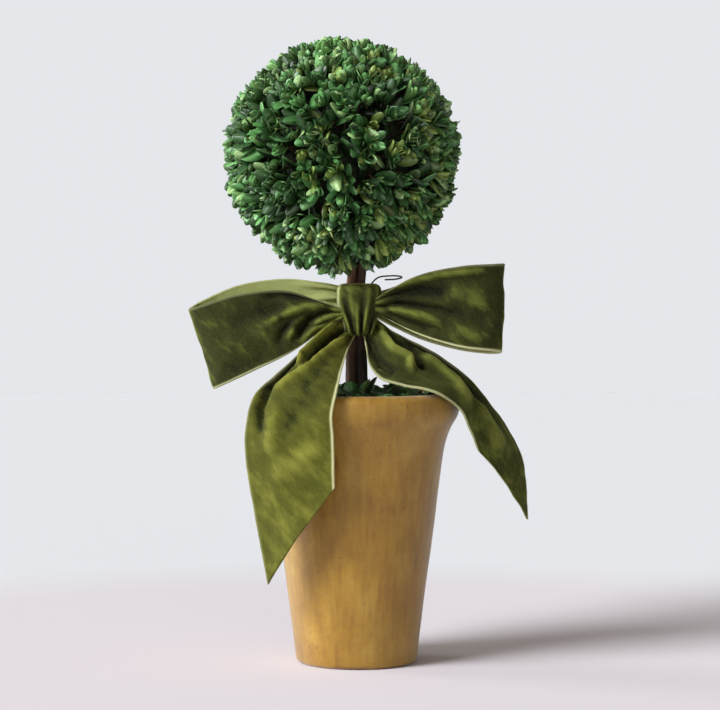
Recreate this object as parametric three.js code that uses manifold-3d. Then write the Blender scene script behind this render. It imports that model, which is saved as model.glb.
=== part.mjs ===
// A small lollipop topiary: a clipped ball of box sprigs on a bundle of three bare stems, in a tall
// clay pot, with a velvet ribbon bow tied round the stems under the ball.
// Millimetres, +Z up. The origin is the centre of the pot's flat underside, and the bow faces -Y.
import * as THREE from "three";
import { mergeVertices } from "three/addons/utils/BufferGeometryUtils.js";
import Module from "manifold-3d";

const wasm = await Module();
wasm.setup();

// Driving dimensions
const GAP = 0.3;
const MERGE_DISTANCE = 1e-3;
const SLIVER = 0.04;

const POT = {
  height: 110,
  footRadius: 24.5,
  footRound: 2,
  neckHeight: 80,
  neckRadius: 34.6,
  lipHeight: 100,
  lipFlare: 4,
  rimRadius: 42,
  rimRound: 3,
  wall: 4,
  floor: 6,
  innerTop: 102,
  sides: 40,
};

const FILL = { top: POT.innerTop, sides: 24 };

const STEMS = {
  foot: FILL.top + GAP,
  top: 166,
  sides: 8,
  stations: 10,
  swell: 1.12,
};

// Each stem's axis at its foot and its top, with the radius there.
const STEM_LIST = [
  { name: "stem_left", foot: [-2.9, -0.8], top: [-2.0, -1.2], radius: [2.3, 1.7], phase: 0.0 },
  { name: "stem_right", foot: [2.3, -1.0], top: [2.0, -0.9], radius: [2.3, 1.7], phase: 0.5 },
  { name: "stem_back", foot: [-0.4, 3.8], top: [0.1, 2.7], radius: [2.1, 1.6], phase: 1.0 },
];

// The crown's clipped surface is a sphere with slow waves, one [frequency, phase] for each of X, Y and Z.
const CROWN = {
  centre: [-5.5, 0, 206],
  reach: 48.8,
  waveHeight: 0.37,
  waves: [
    [4.1, 1.3],
    [4.7, 2.1],
    [5.3, 0.4],
  ],
  coreRadius: 40,
  coreDetail: 3,
  stubTop: 172,
  stemClearance: 7,
};

// A sprig is a short twig that stands out of the core, with pairs of leaves set crosswise. Heights are
// from the crown's centre, pitches are from the twig in radians, and jitters are the most each may vary.
const SPRIGS = {
  count: 112,
  axisJitter: 0.06,
  twigStart: 35,
  twigTip: 43.4,
  twigRadius: 0.9,
  twigTaper: 0.55,
  pairs: [
    { height: 40.9, pitch: 1.12 },
    { height: 42.1, pitch: 0.72 },
  ],
  heightJitter: 1,
  pitchJitter: 0.16,
  azimuthJitter: 0.4,
};

const LEAF = {
  length: 12.4,
  width: 9.2,
  widthJitter: 0.1,
  thickness: 0.6,
  widestAt: 0.55,
  shortest: 0.5,
};

const MOSS = {
  inner: 7.2,
  outer: 36.4,
  foot: FILL.top + GAP,
  top: 106.5,
  edge: 7,
  sides: 24,
};

// Loose leaves in the moss. In front, under the ribbon's tails, they are shorter.
const FOOT_LEAVES = {
  count: 46,
  length: 11,
  shortLength: 7.9,
  width: 7,
  rootDepth: 2.5,
  azimuthStep: 2.1,
  pitch: 0.55,
  pitchJitter: 0.35,
  frontY: -4,
  frontHeight: 4,
};

const RIBBON_THICKNESS = 0.9;

// halfWidth is at the top and at the bottom.
const KNOT = {
  centre: [0.9, -9.9, 143.6],
  halfWidth: [9.6, 7.6],
  halfDepth: 6.4,
  halfHeight: 11,
  squareness: 0.55,
  pillow: 0.08,
  pleats: 10,
  pleatDepth: 0.5,
  pleatTwist: 2.5,
  sides: 32,
  rings: 6,
};

// The gathers in a loop near the knot, across the ribbon's width.
const GATHERS = { waves: 1.5, depth: 1.1 };

// A loop runs from its root beside the knot out to a fold and back. Corners are [x, z].
const LOOP_LEFT = {
  front: { y: -14.0, top: [-9.1, 146.5], bottom: [-8.9, 138.6] },
  back: { y: -7.0, top: [-9.1, 153.4], bottom: [-8.9, 142.0] },
  fold: { y: -9.5, top: [-67.3, 144.3], bottom: [-57.0, 111.6] },
  bulge: 9.5,
  arch: 2.0,
  spread: 2.2,
};

const LOOP_RIGHT = {
  front: { y: -14.0, top: [11.0, 149.5], bottom: [10.8, 142.0] },
  back: { y: -7.0, top: [11.0, 151.0], bottom: [10.8, 139.5] },
  fold: { y: -10.5, top: [59.0, 162.2], bottom: [58.2, 125.6] },
  bulge: 9.5,
  arch: 1.0,
  spread: 2.1,
};

// A tail is the cloth between two edges. The last pair of points is the slanting cut end.
const TAIL_LEFT = {
  edgeA: [
    [-9.0, -10.5, 132.2],
    [-17.4, -17, 128.6],
    [-27.0, -23.5, 119.5],
    [-36.0, -28, 109],
    [-42.3, -30, 95.5],
    [-43.2, -30, 82],
    [-41.0, -29.5, 66],
    [-35.1, -30, 33.4],
  ],
  edgeB: [
    [-2.2, -12, 130.2],
    [-3.8, -22, 127.6],
    [-5.8, -34, 120.6],
    [-7.4, -44.4, 112],
    [-9.0, -46.6, 102],
    [-8.6, -46.0, 92],
    [-8.2, -45.5, 82],
    [-8.2, -45, 71.4],
  ],
  bulge: -3.6,
  rootPleat: 0.9,
};

const TAIL_RIGHT = {
  edgeA: [
    [3.4, -12, 130.6],
    [4.4, -20, 124.2],
    [9.0, -26, 117.2],
    [17, -29.5, 113.6],
    [31, -31, 111.2],
    [39.2, -26, 105.6],
    [44.2, -21, 98.5],
    [48.1, -17, 88.2],
  ],
  edgeB: [
    [10.0, -9, 132.8],
    [16.5, -10, 132.0],
    [24.5, -7.5, 128.4],
    [34.5, -3, 124.2],
    [44.5, 2, 119.2],
    [54.5, 6, 108.0],
    [65.6, 8, 90.0],
    [70.2, 6, 57.3],
  ],
  bulge: -2.2,
  rootPleat: 0.9,
};

// The tie wire goes round the back of the stems and ends in a hairpin above the right loop.
const WIRE = {
  radius: 0.35,
  sides: 5,
  steps: 40,
  route: [
    [-5.4, -2.6, 143],
    [-5.2, -0.6, 144],
    [-3.2, 3.7, 145.5],
    [-0.6, 5.3, 146.5],
    [2.1, 3.8, 147.5],
    [4.1, -0.2, 149.5],
    [5.0, -2.6, 152.5],
    [8.6, -4.2, 156.4],
    [14.0, -4.6, 157.2],
    [17.6, -3.6, 157.0],
    [18.2, -2.2, 156.4],
    [15.6, -1.4, 155.8],
    [11.4, -1.2, 155.6],
  ],
};

const GOLDEN_ANGLE = Math.PI * (3 - Math.sqrt(5));
const SEED = 13;

// Small helpers

// A repeatable number from -1 to 1 for the whole numbers k and salt.
function jitter(k, salt) {
  const wave = Math.sin(k * 12.9898 + salt * 78.233 + SEED) * 43758.5453;
  return 2 * (wave - Math.floor(wave)) - 1;
}

function mix(a, b, t) {
  return a + (b - a) * t;
}

function vec(point) {
  return new THREE.Vector3(...point);
}

// A direction that is square to the given one.
function squareTo(direction) {
  const other = Math.abs(direction.z) < 0.9 ? vec([0, 0, 1]) : vec([1, 0, 0]);
  return new THREE.Vector3().crossVectors(direction, other).normalize();
}

// An indexed geometry from flat lists of coordinates and corners.
function geometryOf(coordinates, corners) {
  const geometry = new THREE.BufferGeometry();
  geometry.setAttribute("position", new THREE.BufferAttribute(new Float32Array(coordinates), 3));
  geometry.setIndex(corners);
  return geometry;
}

// A closed tube from rings of points, with a flat fan over each end.
function ringsToGeometry(rings) {
  const sides = rings[0].length;
  const points = rings.flat();
  const corners = [];
  for (let i = 0; i < rings.length - 1; i++) {
    for (let j = 0; j < sides; j++) {
      const a = i * sides + j;
      const b = i * sides + ((j + 1) % sides);
      corners.push(a, b, b + sides, a, b + sides, a + sides);
    }
  }
  const last = (rings.length - 1) * sides;
  for (let j = 1; j < sides - 1; j++) {
    corners.push(0, j + 1, j, last, last + j, last + j + 1);
  }
  return geometryOf(points.flatMap((p) => p.toArray()), corners);
}

// The normal of a surface at (u, v), from the steps between points close by.
function surfaceNormal(surface, u, v) {
  const step = 1e-3;
  const du = surface(Math.min(u + step, 1), v).sub(surface(Math.max(u - step, 0), v));
  const dv = surface(u, Math.min(v + step, 1)).sub(surface(u, Math.max(v - step, 0)));
  return du.cross(dv).normalize();
}

// The corners of a closed sheet: two layers of a grid of points, joined round all four edges.
function sheetCorners(along, across) {
  const row = across + 1;
  const layer = (along + 1) * row;
  const corners = [];
  const quad = (a, b, c, d) => corners.push(a, b, c, a, c, d);
  for (let i = 0; i < along; i++) {
    for (let j = 0; j < across; j++) {
      const a = i * row + j;
      quad(a, a + row, a + row + 1, a + 1);
      quad(layer + a, layer + a + 1, layer + a + row + 1, layer + a + row);
    }
    const left = i * row;
    const right = left + across;
    quad(left, left + layer, left + layer + row, left + row);
    quad(right, right + row, right + layer + row, right + layer);
  }
  for (let j = 0; j < across; j++) {
    const end = along * row + j;
    quad(j, j + 1, j + 1 + layer, j + layer);
    quad(end, end + layer, end + layer + 1, end + 1);
  }
  return corners;
}

// A strip of cloth as a closed solid: the surface's grid of points, moved half the thickness each way.
function clothGeometry(surface, along, across) {
  const points = [];
  for (const side of [0.5, -0.5]) {
    for (let i = 0; i <= along; i++) {
      for (let j = 0; j <= across; j++) {
        const u = i / along;
        const v = j / across;
        const normal = surfaceNormal(surface, u, v);
        points.push(surface(u, v).addScaledVector(normal, side * RIBBON_THICKNESS));
      }
    }
  }
  return geometryOf(points.flatMap((p) => p.toArray()), sheetCorners(along, across));
}

function solidOf(geometry) {
  const bare = geometry.clone();
  bare.deleteAttribute("normal");
  bare.deleteAttribute("uv");
  const merged = mergeVertices(bare, MERGE_DISTANCE);
  return new wasm.Manifold(
    new wasm.Mesh({
      numProp: 3,
      vertProperties: merged.attributes.position.array,
      triVerts: new Uint32Array(merged.index.array),
    }),
  );
}

function geometryFromSolid(solid) {
  const mesh = solid.getMesh();
  return geometryOf(mesh.vertProperties, Array.from(mesh.triVerts));
}

// Joins solids in pairs, so that the largest unions are few.
function joined(solids) {
  let list = solids;
  while (list.length > 1) {
    const next = [];
    for (let i = 0; i < list.length; i += 2) {
      next.push(i + 1 < list.length ? list[i].add(list[i + 1]) : list[i]);
    }
    list = next;
  }
  return list[0];
}

// The largest of the separate bodies that a union leaves, which drops any loose scrap.
function largestBody(solid) {
  return solid.decompose().sort((a, b) => b.volume() - a.volume())[0];
}

// One body from many solids, with its slivers flattened out. Points that nearly touch are merged, and
// the largest body is taken again because the merging can pinch off a scrap.
function fused(solids) {
  const body = largestBody(joined(solids));
  const smooth = largestBody(body.simplify(SLIVER));
  return geometryFromSolid(largestBody(solidOf(geometryFromSolid(smooth))));
}

function material(colour, roughness) {
  return new THREE.MeshStandardMaterial({ color: colour, roughness, metalness: 0 });
}

const MATERIALS = {
  clay: material("#b8925a", 0.85),
  foam: material("#3d3524", 0.95),
  bark: material("#6b4632", 0.8),
  boxLeaf: material("#4f7a3a", 0.5),
  moss: material("#3c5a28", 0.9),
  velvet: material("#5a5a2a", 0.9),
  wire: material("#30352a", 0.5),
};

// The pot and what fills it

// The pot's outer radius: a straight taper, flared out towards the lip as the cube of the height.
function potRadius(z) {
  const taper = mix(POT.footRadius, POT.neckRadius, z / POT.neckHeight);
  const flare = (z - POT.neckHeight) / (POT.lipHeight - POT.neckHeight);
  return taper + POT.lipFlare * Math.min(1, Math.max(0, flare)) ** 3;
}

// A quarter circle of points round a centre, from one angle to another.
function arc(centre, radius, from, to, steps) {
  const points = [];
  for (let i = 0; i <= steps; i++) {
    const angle = mix(from, to, i / steps);
    points.push([centre[0] + radius * Math.cos(angle), centre[1] + radius * Math.sin(angle)]);
  }
  return points;
}

// A solid of revolution about Z from [radius, height] pairs, listed anticlockwise.
function turned(profile, sides) {
  const geometry = new THREE.LatheGeometry(
    profile.map((p) => new THREE.Vector2(...p)),
    sides,
  );
  return geometry.rotateX(Math.PI / 2);
}

function heights(from, to, steps) {
  return Array.from({ length: steps + 1 }, (_, i) => mix(from, to, i / steps));
}

// The pot's inner wall from the floor up, moved in by a clearance.
function innerWall(clearance) {
  return heights(POT.floor, POT.innerTop, 8).map((z) => [potRadius(z) - POT.wall - clearance, z]);
}

function potGeometry() {
  const round = POT.footRound;
  const rim = POT.rimRadius - POT.rimRound;
  const outer = heights(round, POT.lipHeight, 10).map((z) => [potRadius(z), z]);
  const profile = [
    [0, 0],
    ...arc([potRadius(round) - round, round], round, -Math.PI / 2, -Math.PI / 6, 2),
    ...outer,
    [POT.rimRadius, POT.lipHeight + 1.5],
    ...arc([rim, POT.height - POT.rimRound], POT.rimRound, 0, Math.PI / 2, 3),
    [rim - 0.8, POT.height - 0.6],
    ...innerWall(0).reverse(),
    [0, POT.floor],
  ];
  return turned(profile, POT.sides);
}

function fillGeometry() {
  const wall = innerWall(GAP);
  wall[0][1] += GAP;
  return turned([[0, wall[0][1]], ...wall, [0, FILL.top]], FILL.sides);
}

// The stems

// Where a stem's axis runs: a straight lean with two slow bends.
function stemAxis(stem, t) {
  const bend = 0.35 * Math.sin(2.2 * Math.PI * t) + 0.2 * Math.sin(5 * Math.PI * t);
  return vec([
    mix(stem.foot[0], stem.top[0], t) + bend,
    mix(stem.foot[1], stem.top[1], t) + 0.5 * bend,
    mix(STEMS.foot, STEMS.top, t),
  ]);
}

// A stem's radius: an even taper, with a swelling at the foot and a node every fifth of its length.
function stemRadius(stem, t) {
  const foot = mix(STEMS.swell, 1, Math.min(1, t * 8));
  const node = 1 + 0.05 * Math.cos(2 * Math.PI * (5 * t + stem.phase));
  return (mix(stem.radius[0], stem.radius[1], t) * foot * node) / 1.05;
}

function stemRing(centre, radius, sides, turn) {
  return Array.from({ length: sides }, (_, j) => {
    const angle = (2 * Math.PI * j) / sides + turn;
    return centre.clone().add(vec([radius * Math.cos(angle), radius * Math.sin(angle), 0]));
  });
}

function stemGeometry(stem) {
  const rings = heights(0, 1, STEMS.stations).map((t) =>
    stemRing(stemAxis(stem, t), stemRadius(stem, t), STEMS.sides, stem.phase),
  );
  return ringsToGeometry(rings);
}

// Twigs and leaves

// A three-sided twig that tapers from its start to its tip.
function twigGeometry(start, tip, radius) {
  const direction = tip.clone().sub(start).normalize();
  const side = squareTo(direction);
  const other = new THREE.Vector3().crossVectors(direction, side);
  const ring = (centre, size) =>
    [0, 1, 2].map((j) => {
      const angle = (2 * Math.PI * j) / 3;
      return centre
        .clone()
        .addScaledVector(side, size * Math.cos(angle))
        .addScaledVector(other, size * Math.sin(angle));
    });
  return ringsToGeometry([ring(start, radius), ring(tip, SPRIGS.twigTaper * radius)]);
}

// A leaf of eight faces: widest a little past its middle, thickest there, and pointed at both ends.
function leafGeometry(base, direction, face, length, width) {
  const side = new THREE.Vector3().crossVectors(direction, face).normalize();
  const middle = base.clone().addScaledVector(direction, LEAF.widestAt * length);
  const at = (along, across) => middle.clone().addScaledVector(side, along).addScaledVector(face, across);
  const half = LEAF.thickness / 2;
  const points = [
    base,
    base.clone().addScaledVector(direction, length),
    at(width / 2, 0),
    at(-width / 2, 0),
    at(0, half),
    at(0, -half),
  ];
  const corners = [0, 4, 2, 0, 3, 4, 0, 5, 3, 0, 2, 5, 1, 2, 4, 1, 4, 3, 1, 3, 5, 1, 5, 2];
  return geometryOf(points.flatMap((p) => p.toArray()), corners);
}

// An axis turned by a pitch, towards an azimuth about it, and the way that a leaf's upper face looks there.
function pitched(axis, azimuth, pitch) {
  const side = squareTo(axis);
  const other = new THREE.Vector3().crossVectors(axis, side);
  const outward = side.multiplyScalar(Math.cos(azimuth)).addScaledVector(other, Math.sin(azimuth));
  const direction = axis
    .clone()
    .multiplyScalar(Math.cos(pitch))
    .addScaledVector(outward, Math.sin(pitch));
  const face = axis.clone().multiplyScalar(Math.sin(pitch)).addScaledVector(outward, -Math.cos(pitch));
  return { direction, face };
}

// The k-th of count directions spread evenly over the sphere, nudged by a repeatable jitter.
function sprigAxis(k, count) {
  const z = 1 - (2 * (k + 0.5)) / count;
  const radius = Math.sqrt(1 - z * z);
  const angle = k * GOLDEN_ANGLE;
  const even = vec([radius * Math.cos(angle), radius * Math.sin(angle), z]);
  const nudge = vec([jitter(k, 1), jitter(k, 2), jitter(k, 3)]);
  return even.addScaledVector(nudge, SPRIGS.axisJitter).normalize();
}

// How far the crown's clipped surface lies from its centre in a direction.
function crownReach(direction) {
  const along = direction.toArray();
  const sum = CROWN.waves.reduce((total, [rate, phase], i) => total + Math.sin(rate * along[i] + phase), 0);
  return CROWN.reach + CROWN.waveHeight * sum;
}

// A leaf's length, cut short where its tip would pass the clipped surface.
function clippedLength(base, direction, length) {
  const centre = vec(CROWN.centre);
  let kept = length;
  while (kept > LEAF.shortest * length) {
    const arm = base.clone().addScaledVector(direction, kept).sub(centre);
    if (arm.length() <= crownReach(arm.clone().normalize())) break;
    kept -= 0.02 * length;
  }
  return kept;
}

// True where a point in the crown's lower half comes near the bundle of stems.
function nearStems(point) {
  return point.z < CROWN.centre[2] && Math.hypot(point.x, point.y) < CROWN.stemClearance;
}

// One leaf of a sprig, or nothing where it would touch the stems.
function sprigLeaf(k, axis, pair, side) {
  const { height, pitch } = SPRIGS.pairs[pair];
  const salt = 10 + 2 * pair + side;
  const crosswise = (pair * Math.PI) / 2 + side * Math.PI;
  const azimuth = k * GOLDEN_ANGLE + crosswise + SPRIGS.azimuthJitter * jitter(k, salt);
  const { direction, face } = pitched(axis, azimuth, pitch + SPRIGS.pitchJitter * jitter(k, salt + 10));
  const baseHeight = height + SPRIGS.heightJitter * jitter(k, salt + 20);
  const base = vec(CROWN.centre).addScaledVector(axis, baseHeight);
  const length = clippedLength(base, direction, LEAF.length);
  const tip = base.clone().addScaledVector(direction, length);
  if (nearStems(tip) || nearStems(base)) return [];
  const width = LEAF.width * (1 + LEAF.widthJitter * jitter(k, salt + 30));
  return [solidOf(leafGeometry(base, direction, face, length, width))];
}

function sprigSolids(k) {
  const centre = vec(CROWN.centre);
  const axis = sprigAxis(k, SPRIGS.count);
  const on = (radius) => centre.clone().addScaledVector(axis, radius);
  if (nearStems(on(SPRIGS.twigTip))) return [];
  const solids = [solidOf(twigGeometry(on(SPRIGS.twigStart), on(SPRIGS.twigTip), SPRIGS.twigRadius))];
  for (let pair = 0; pair < SPRIGS.pairs.length; pair++) {
    solids.push(...sprigLeaf(k, axis, pair, 0), ...sprigLeaf(k, axis, pair, 1));
  }
  return solids;
}

// Short stubs under the core, one over each stem, that meet the stems' tops.
function stubSolid(stem) {
  const foot = stemAxis(stem, 1);
  foot.z += GAP;
  const top = foot.clone();
  top.z = CROWN.stubTop;
  const radius = stemRadius(stem, 1);
  return solidOf(ringsToGeometry([stemRing(foot, radius, 6, 0), stemRing(top, radius, 6, 0)]));
}

function crownGeometry() {
  const core = new THREE.IcosahedronGeometry(CROWN.coreRadius, CROWN.coreDetail);
  core.translate(...CROWN.centre);
  const sprigs = [];
  for (let k = 0; k < SPRIGS.count; k++) sprigs.push(...sprigSolids(k));
  const stubs = STEM_LIST.map(stubSolid);
  return fused([solidOf(core), ...stubs, ...sprigs]);
}

// A ring of moss with a hollow middle for the stems.
function mossSolid() {
  const { inner, outer, foot, top, edge, sides } = MOSS;
  const profile = [
    [inner, foot],
    [outer, foot],
    [outer - 1, mix(foot, top, 0.5)],
    [outer - edge, top],
    [inner + edge / 2, top + 1],
    [inner, top - 1],
    [inner, foot],
  ];
  return solidOf(turned(profile, sides));
}

// The k-th loose leaf in the moss, or nothing where it would touch the pot or the stems.
function footLeaf(k) {
  const { count, pitch, pitchJitter, azimuthStep, frontY, frontHeight } = FOOT_LEAVES;
  const angle = k * GOLDEN_ANGLE;
  const radius = mix(MOSS.inner + 3, MOSS.outer - 4, Math.sqrt((k + 0.5) / count));
  const base = vec([radius * Math.cos(angle), radius * Math.sin(angle), MOSS.top - FOOT_LEAVES.rootDepth]);
  const { direction, face } = pitched(vec([0, 0, 1]), k * azimuthStep, pitch + pitchJitter * jitter(k, 5));
  const tip = base.clone().addScaledVector(direction, FOOT_LEAVES.length);
  const reach = Math.hypot(tip.x, tip.y);
  if (reach > MOSS.outer || reach < MOSS.inner) return [];
  const inFront = tip.y < frontY && tip.z > MOSS.top + frontHeight;
  const length = inFront ? FOOT_LEAVES.shortLength : FOOT_LEAVES.length;
  return [solidOf(leafGeometry(base, direction, face, length, FOOT_LEAVES.width))];
}

function footLeavesGeometry() {
  const solids = [mossSolid()];
  for (let k = 0; k < FOOT_LEAVES.count; k++) solids.push(...footLeaf(k));
  return fused(solids);
}

// The ribbon bow

// A point of the knot's side: a squared-off oval whose half width shrinks downwards, with soft pleats in
// front. t is 0 at the bottom and 1 at the top.
function knotPoint(angle, t) {
  const { centre, halfWidth, halfDepth, halfHeight } = KNOT;
  const soft = (value) => Math.sign(value) * Math.abs(value) ** KNOT.squareness;
  const pillow = 1 - KNOT.pillow * Math.abs(2 * t - 1) ** 4;
  const pleat = KNOT.pleatDepth * Math.cos(KNOT.pleats * angle + KNOT.pleatTwist * t);
  const wide = mix(halfWidth[1], halfWidth[0], t) * pillow;
  const deep = halfDepth * pillow + (Math.sin(angle) < 0 ? pleat * Math.sin(angle) ** 2 : 0);
  return vec([
    centre[0] + wide * soft(Math.cos(angle)),
    centre[1] + deep * soft(Math.sin(angle)),
    centre[2] + halfHeight * (2 * t - 1),
  ]);
}

function knotGeometry() {
  const rings = heights(0, 1, KNOT.rings).map((t) =>
    Array.from({ length: KNOT.sides }, (_, j) => knotPoint((2 * Math.PI * j) / KNOT.sides, t)),
  );
  return ringsToGeometry(rings);
}

// A loop's cloth. u runs from the front root round the fold to the back root, v from the top edge down.
// The depth follows a teardrop, and the width opens like a fan away from the knot.
function loopSurface(loop) {
  return (u, v) => {
    const turn = 2 * Math.PI * u;
    const out = (1 - Math.cos(turn)) / 2;
    const root = u < 0.5 ? loop.front : loop.back;
    const fan = 1 - (1 - out) ** loop.spread;
    const corner = (name, axis) => mix(root[name][axis], loop.fold[name][axis], out);
    const middle = (axis) => (corner("top", axis) + corner("bottom", axis)) / 2;
    const rootHalf = (axis) => (root.top[axis] - root.bottom[axis]) / 2;
    const foldHalf = (axis) => (loop.fold.top[axis] - loop.fold.bottom[axis]) / 2;
    const half = (axis) => mix(rootHalf(axis), foldHalf(axis), fan);
    const across = 1 - 2 * v;
    const gather = GATHERS.depth * (1 - out) ** 1.5 * out ** 0.3 * Math.cos(2 * Math.PI * GATHERS.waves * v);
    const depth = -loop.bulge * Math.sin(turn) * Math.sin(turn / 2);
    return vec([
      middle(0) + half(0) * across,
      mix(root.y, loop.fold.y, out) + depth + (u < 0.5 ? -gather : gather),
      middle(1) + half(1) * across + loop.arch * Math.sin(Math.PI * out),
    ]);
  };
}

// A tail's cloth between its two edge curves, bulged across its middle and pleated at its root.
function tailSurface(tail) {
  const edgeA = new THREE.CatmullRomCurve3(tail.edgeA.map(vec));
  const edgeB = new THREE.CatmullRomCurve3(tail.edgeB.map(vec));
  return (u, v) => {
    const a = edgeA.getPoint(u);
    const b = edgeB.getPoint(u);
    const across = b.clone().sub(a).normalize();
    const along = edgeA.getTangent(u).add(edgeB.getTangent(u)).normalize();
    const out = across.cross(along).normalize();
    const pleat = tail.rootPleat * (1 - u) ** 4 * Math.cos(2 * Math.PI * GATHERS.waves * v);
    const bulge = tail.bulge * Math.sin(Math.PI * v) * Math.min(1, 3 * u);
    return a.lerp(b, v).addScaledVector(out, bulge + pleat);
  };
}

function wireGeometry() {
  const section = new THREE.Shape(
    Array.from({ length: WIRE.sides }, (_, j) => {
      const angle = (2 * Math.PI * j) / WIRE.sides;
      return new THREE.Vector2(WIRE.radius * Math.cos(angle), WIRE.radius * Math.sin(angle));
    }),
  );
  const path = new THREE.CatmullRomCurve3(WIRE.route.map(vec));
  return new THREE.ExtrudeGeometry(section, { steps: WIRE.steps, extrudePath: path, bevelEnabled: false });
}

// Assembly

const topiary = new THREE.Group();

function addPiece(name, geometry, finish) {
  const mesh = new THREE.Mesh(geometry, finish);
  mesh.name = name;
  topiary.add(mesh);
}

addPiece("pot", potGeometry(), MATERIALS.clay);
addPiece("pot_fill", fillGeometry(), MATERIALS.foam);
addPiece("foot_leaves", footLeavesGeometry(), MATERIALS.moss);
for (const stem of STEM_LIST) addPiece(stem.name, stemGeometry(stem), MATERIALS.bark);
addPiece("leaf_ball", crownGeometry(), MATERIALS.boxLeaf);
addPiece("bow_knot", knotGeometry(), MATERIALS.velvet);
addPiece("bow_loop_left", clothGeometry(loopSurface(LOOP_LEFT), 26, 4), MATERIALS.velvet);
addPiece("bow_loop_right", clothGeometry(loopSurface(LOOP_RIGHT), 26, 4), MATERIALS.velvet);
addPiece("bow_tail_left", clothGeometry(tailSurface(TAIL_LEFT), 16, 5), MATERIALS.velvet);
addPiece("bow_tail_right", clothGeometry(tailSurface(TAIL_RIGHT), 16, 5), MATERIALS.velvet);
addPiece("tie_wire", wireGeometry(), MATERIALS.wire);

export default topiary;
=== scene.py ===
"""A tabletop lollipop topiary in a tall clay pot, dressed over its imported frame.

Shapes are worked out in millimetres, +Z up with the bow facing -Y, and put_mesh turns them to metres.
"""

import math

import bpy
import numpy as np
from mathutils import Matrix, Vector


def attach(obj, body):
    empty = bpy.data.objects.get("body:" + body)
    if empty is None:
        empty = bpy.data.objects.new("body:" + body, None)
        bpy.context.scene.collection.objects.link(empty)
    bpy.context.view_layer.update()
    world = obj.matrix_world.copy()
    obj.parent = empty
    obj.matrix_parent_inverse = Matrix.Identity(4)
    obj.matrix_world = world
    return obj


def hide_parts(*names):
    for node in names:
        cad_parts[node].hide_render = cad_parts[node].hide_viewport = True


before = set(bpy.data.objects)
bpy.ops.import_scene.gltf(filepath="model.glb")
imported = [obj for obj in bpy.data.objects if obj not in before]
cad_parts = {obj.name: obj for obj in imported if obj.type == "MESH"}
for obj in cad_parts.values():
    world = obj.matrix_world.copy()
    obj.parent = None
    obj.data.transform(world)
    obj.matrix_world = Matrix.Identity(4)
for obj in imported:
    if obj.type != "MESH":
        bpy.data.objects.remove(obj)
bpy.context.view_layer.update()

MM = 0.001
IN_MM = (1000, 1000, 1000)
GOLDEN_ANGLE = math.pi * (3 - math.sqrt(5))
SEED = 13

# Driving dimensions in millimetres. They are the part's, apart from the ribbon's: its width is the real
# ribbon's, and its thickness is 0.1 less than the part's, which leaves room for its beads

STEM_FOOT = 102.3
STEM_TOP = 166.0
STEMS = {
    "stem_left": dict(foot=(-2.9, -0.8), top=(-2.0, -1.2), radius=(2.3, 1.7), phase=0.0),
    "stem_right": dict(foot=(2.3, -1.0), top=(2.0, -0.9), radius=(2.3, 1.7), phase=0.5),
    "stem_back": dict(foot=(-0.4, 3.8), top=(0.1, 2.7), radius=(2.1, 1.6), phase=1.0),
}
CROWN_CENTRE = np.array([-5.5, 0.0, 206.0])
CROWN_REACH = 48.8
CROWN_WAVES = ((4.1, 1.3), (4.7, 2.1), (5.3, 0.4))
MOSS_TOP = 106.5
MOSS_INNER = 7.2
MOSS_OUTER = 36.4
RIBBON_WIDTH = 36.0
RIBBON_THICKNESS = 0.8
POT_FOOT_RADIUS = 24.5
POT_NECK_RADIUS = 34.6
POT_NECK = 80
POT_LIP = 100
POT_FLARE = 4
POT_WALL = 4
POT_FLOOR = 6
POT_INNER_TOP = 102


# Small helpers


def mix(a, b, t):
    """The value that lies t of the way from a to b."""
    return a + (b - a) * t


def smooth_step(low, high, x):
    """0 below low, 1 above high, and the cubic 3t^2 - 2t^3 between them."""
    t = np.clip((x - low) / (high - low), 0.0, 1.0)
    return t * t * (3 - 2 * t)


def unit(v):
    """Vectors of length 1 along the given ones."""
    return v / np.maximum(np.linalg.norm(v, axis=-1, keepdims=True), 1e-9)


def jitter(k, salt):
    """A repeatable number from -1 to 1 for each whole number in k: the fraction of a large sine."""
    wave = np.sin(np.asarray(k, float) * 12.9898 + salt * 78.233 + SEED) * 43758.5453
    return 2 * (wave - np.floor(wave)) - 1


def jitters(k, *salts):
    """A vector of jitters for each whole number in k."""
    return np.stack([jitter(k, salt) for salt in salts], axis=-1)


def spread(k, count, nudge):
    """Unit directions spread evenly over the sphere by the golden angle, each nudged by a jitter."""
    k = np.asarray(k, float)
    z = 1 - 2 * (k + 0.5) / count
    radius = np.sqrt(np.maximum(1 - z * z, 0))
    angle = k * GOLDEN_ANGLE
    even = np.stack([radius * np.cos(angle), radius * np.sin(angle), z], axis=-1)
    return unit(even + nudge * jitters(k, 1, 2, 3))


def through(points, t):
    """Points at t from 0 to 1 on the smooth curve through the given ones (uniform Catmull-Rom)."""
    p = np.asarray(points, float)
    p = np.vstack([2 * p[0] - p[1], p, 2 * p[-1] - p[-2]])
    x = np.clip(np.asarray(t, float), 0, 1) * (len(p) - 3)
    i = np.minimum(x.astype(int), len(p) - 4)
    f = (x - i)[..., None]
    a, b, c, d = p[i], p[i + 1], p[i + 2], p[i + 3]
    return 0.5 * (
        2 * b + (c - a) * f + (2 * a - 5 * b + 4 * c - d) * f**2 + (3 * b - a - 3 * c + d) * f**3
    )


def lumps(points, size, seed, octaves=3):
    """A soft random field from about -1 to 1: sines of the position along random directions, with each
    octave twice as fine and half as strong. size is the longest wave in millimetres."""
    rng = np.random.default_rng(seed)
    total = np.zeros(points.shape[:-1])
    for octave in range(octaves):
        for _ in range(6):
            direction = unit(rng.normal(size=3)) * (2 * math.pi * 2**octave / size) * rng.uniform(0.6, 1.2)
            total += np.sin(points @ direction + rng.uniform(0, 6.28)) / (2.4 * 2**octave)
    return total / 1.6


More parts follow.
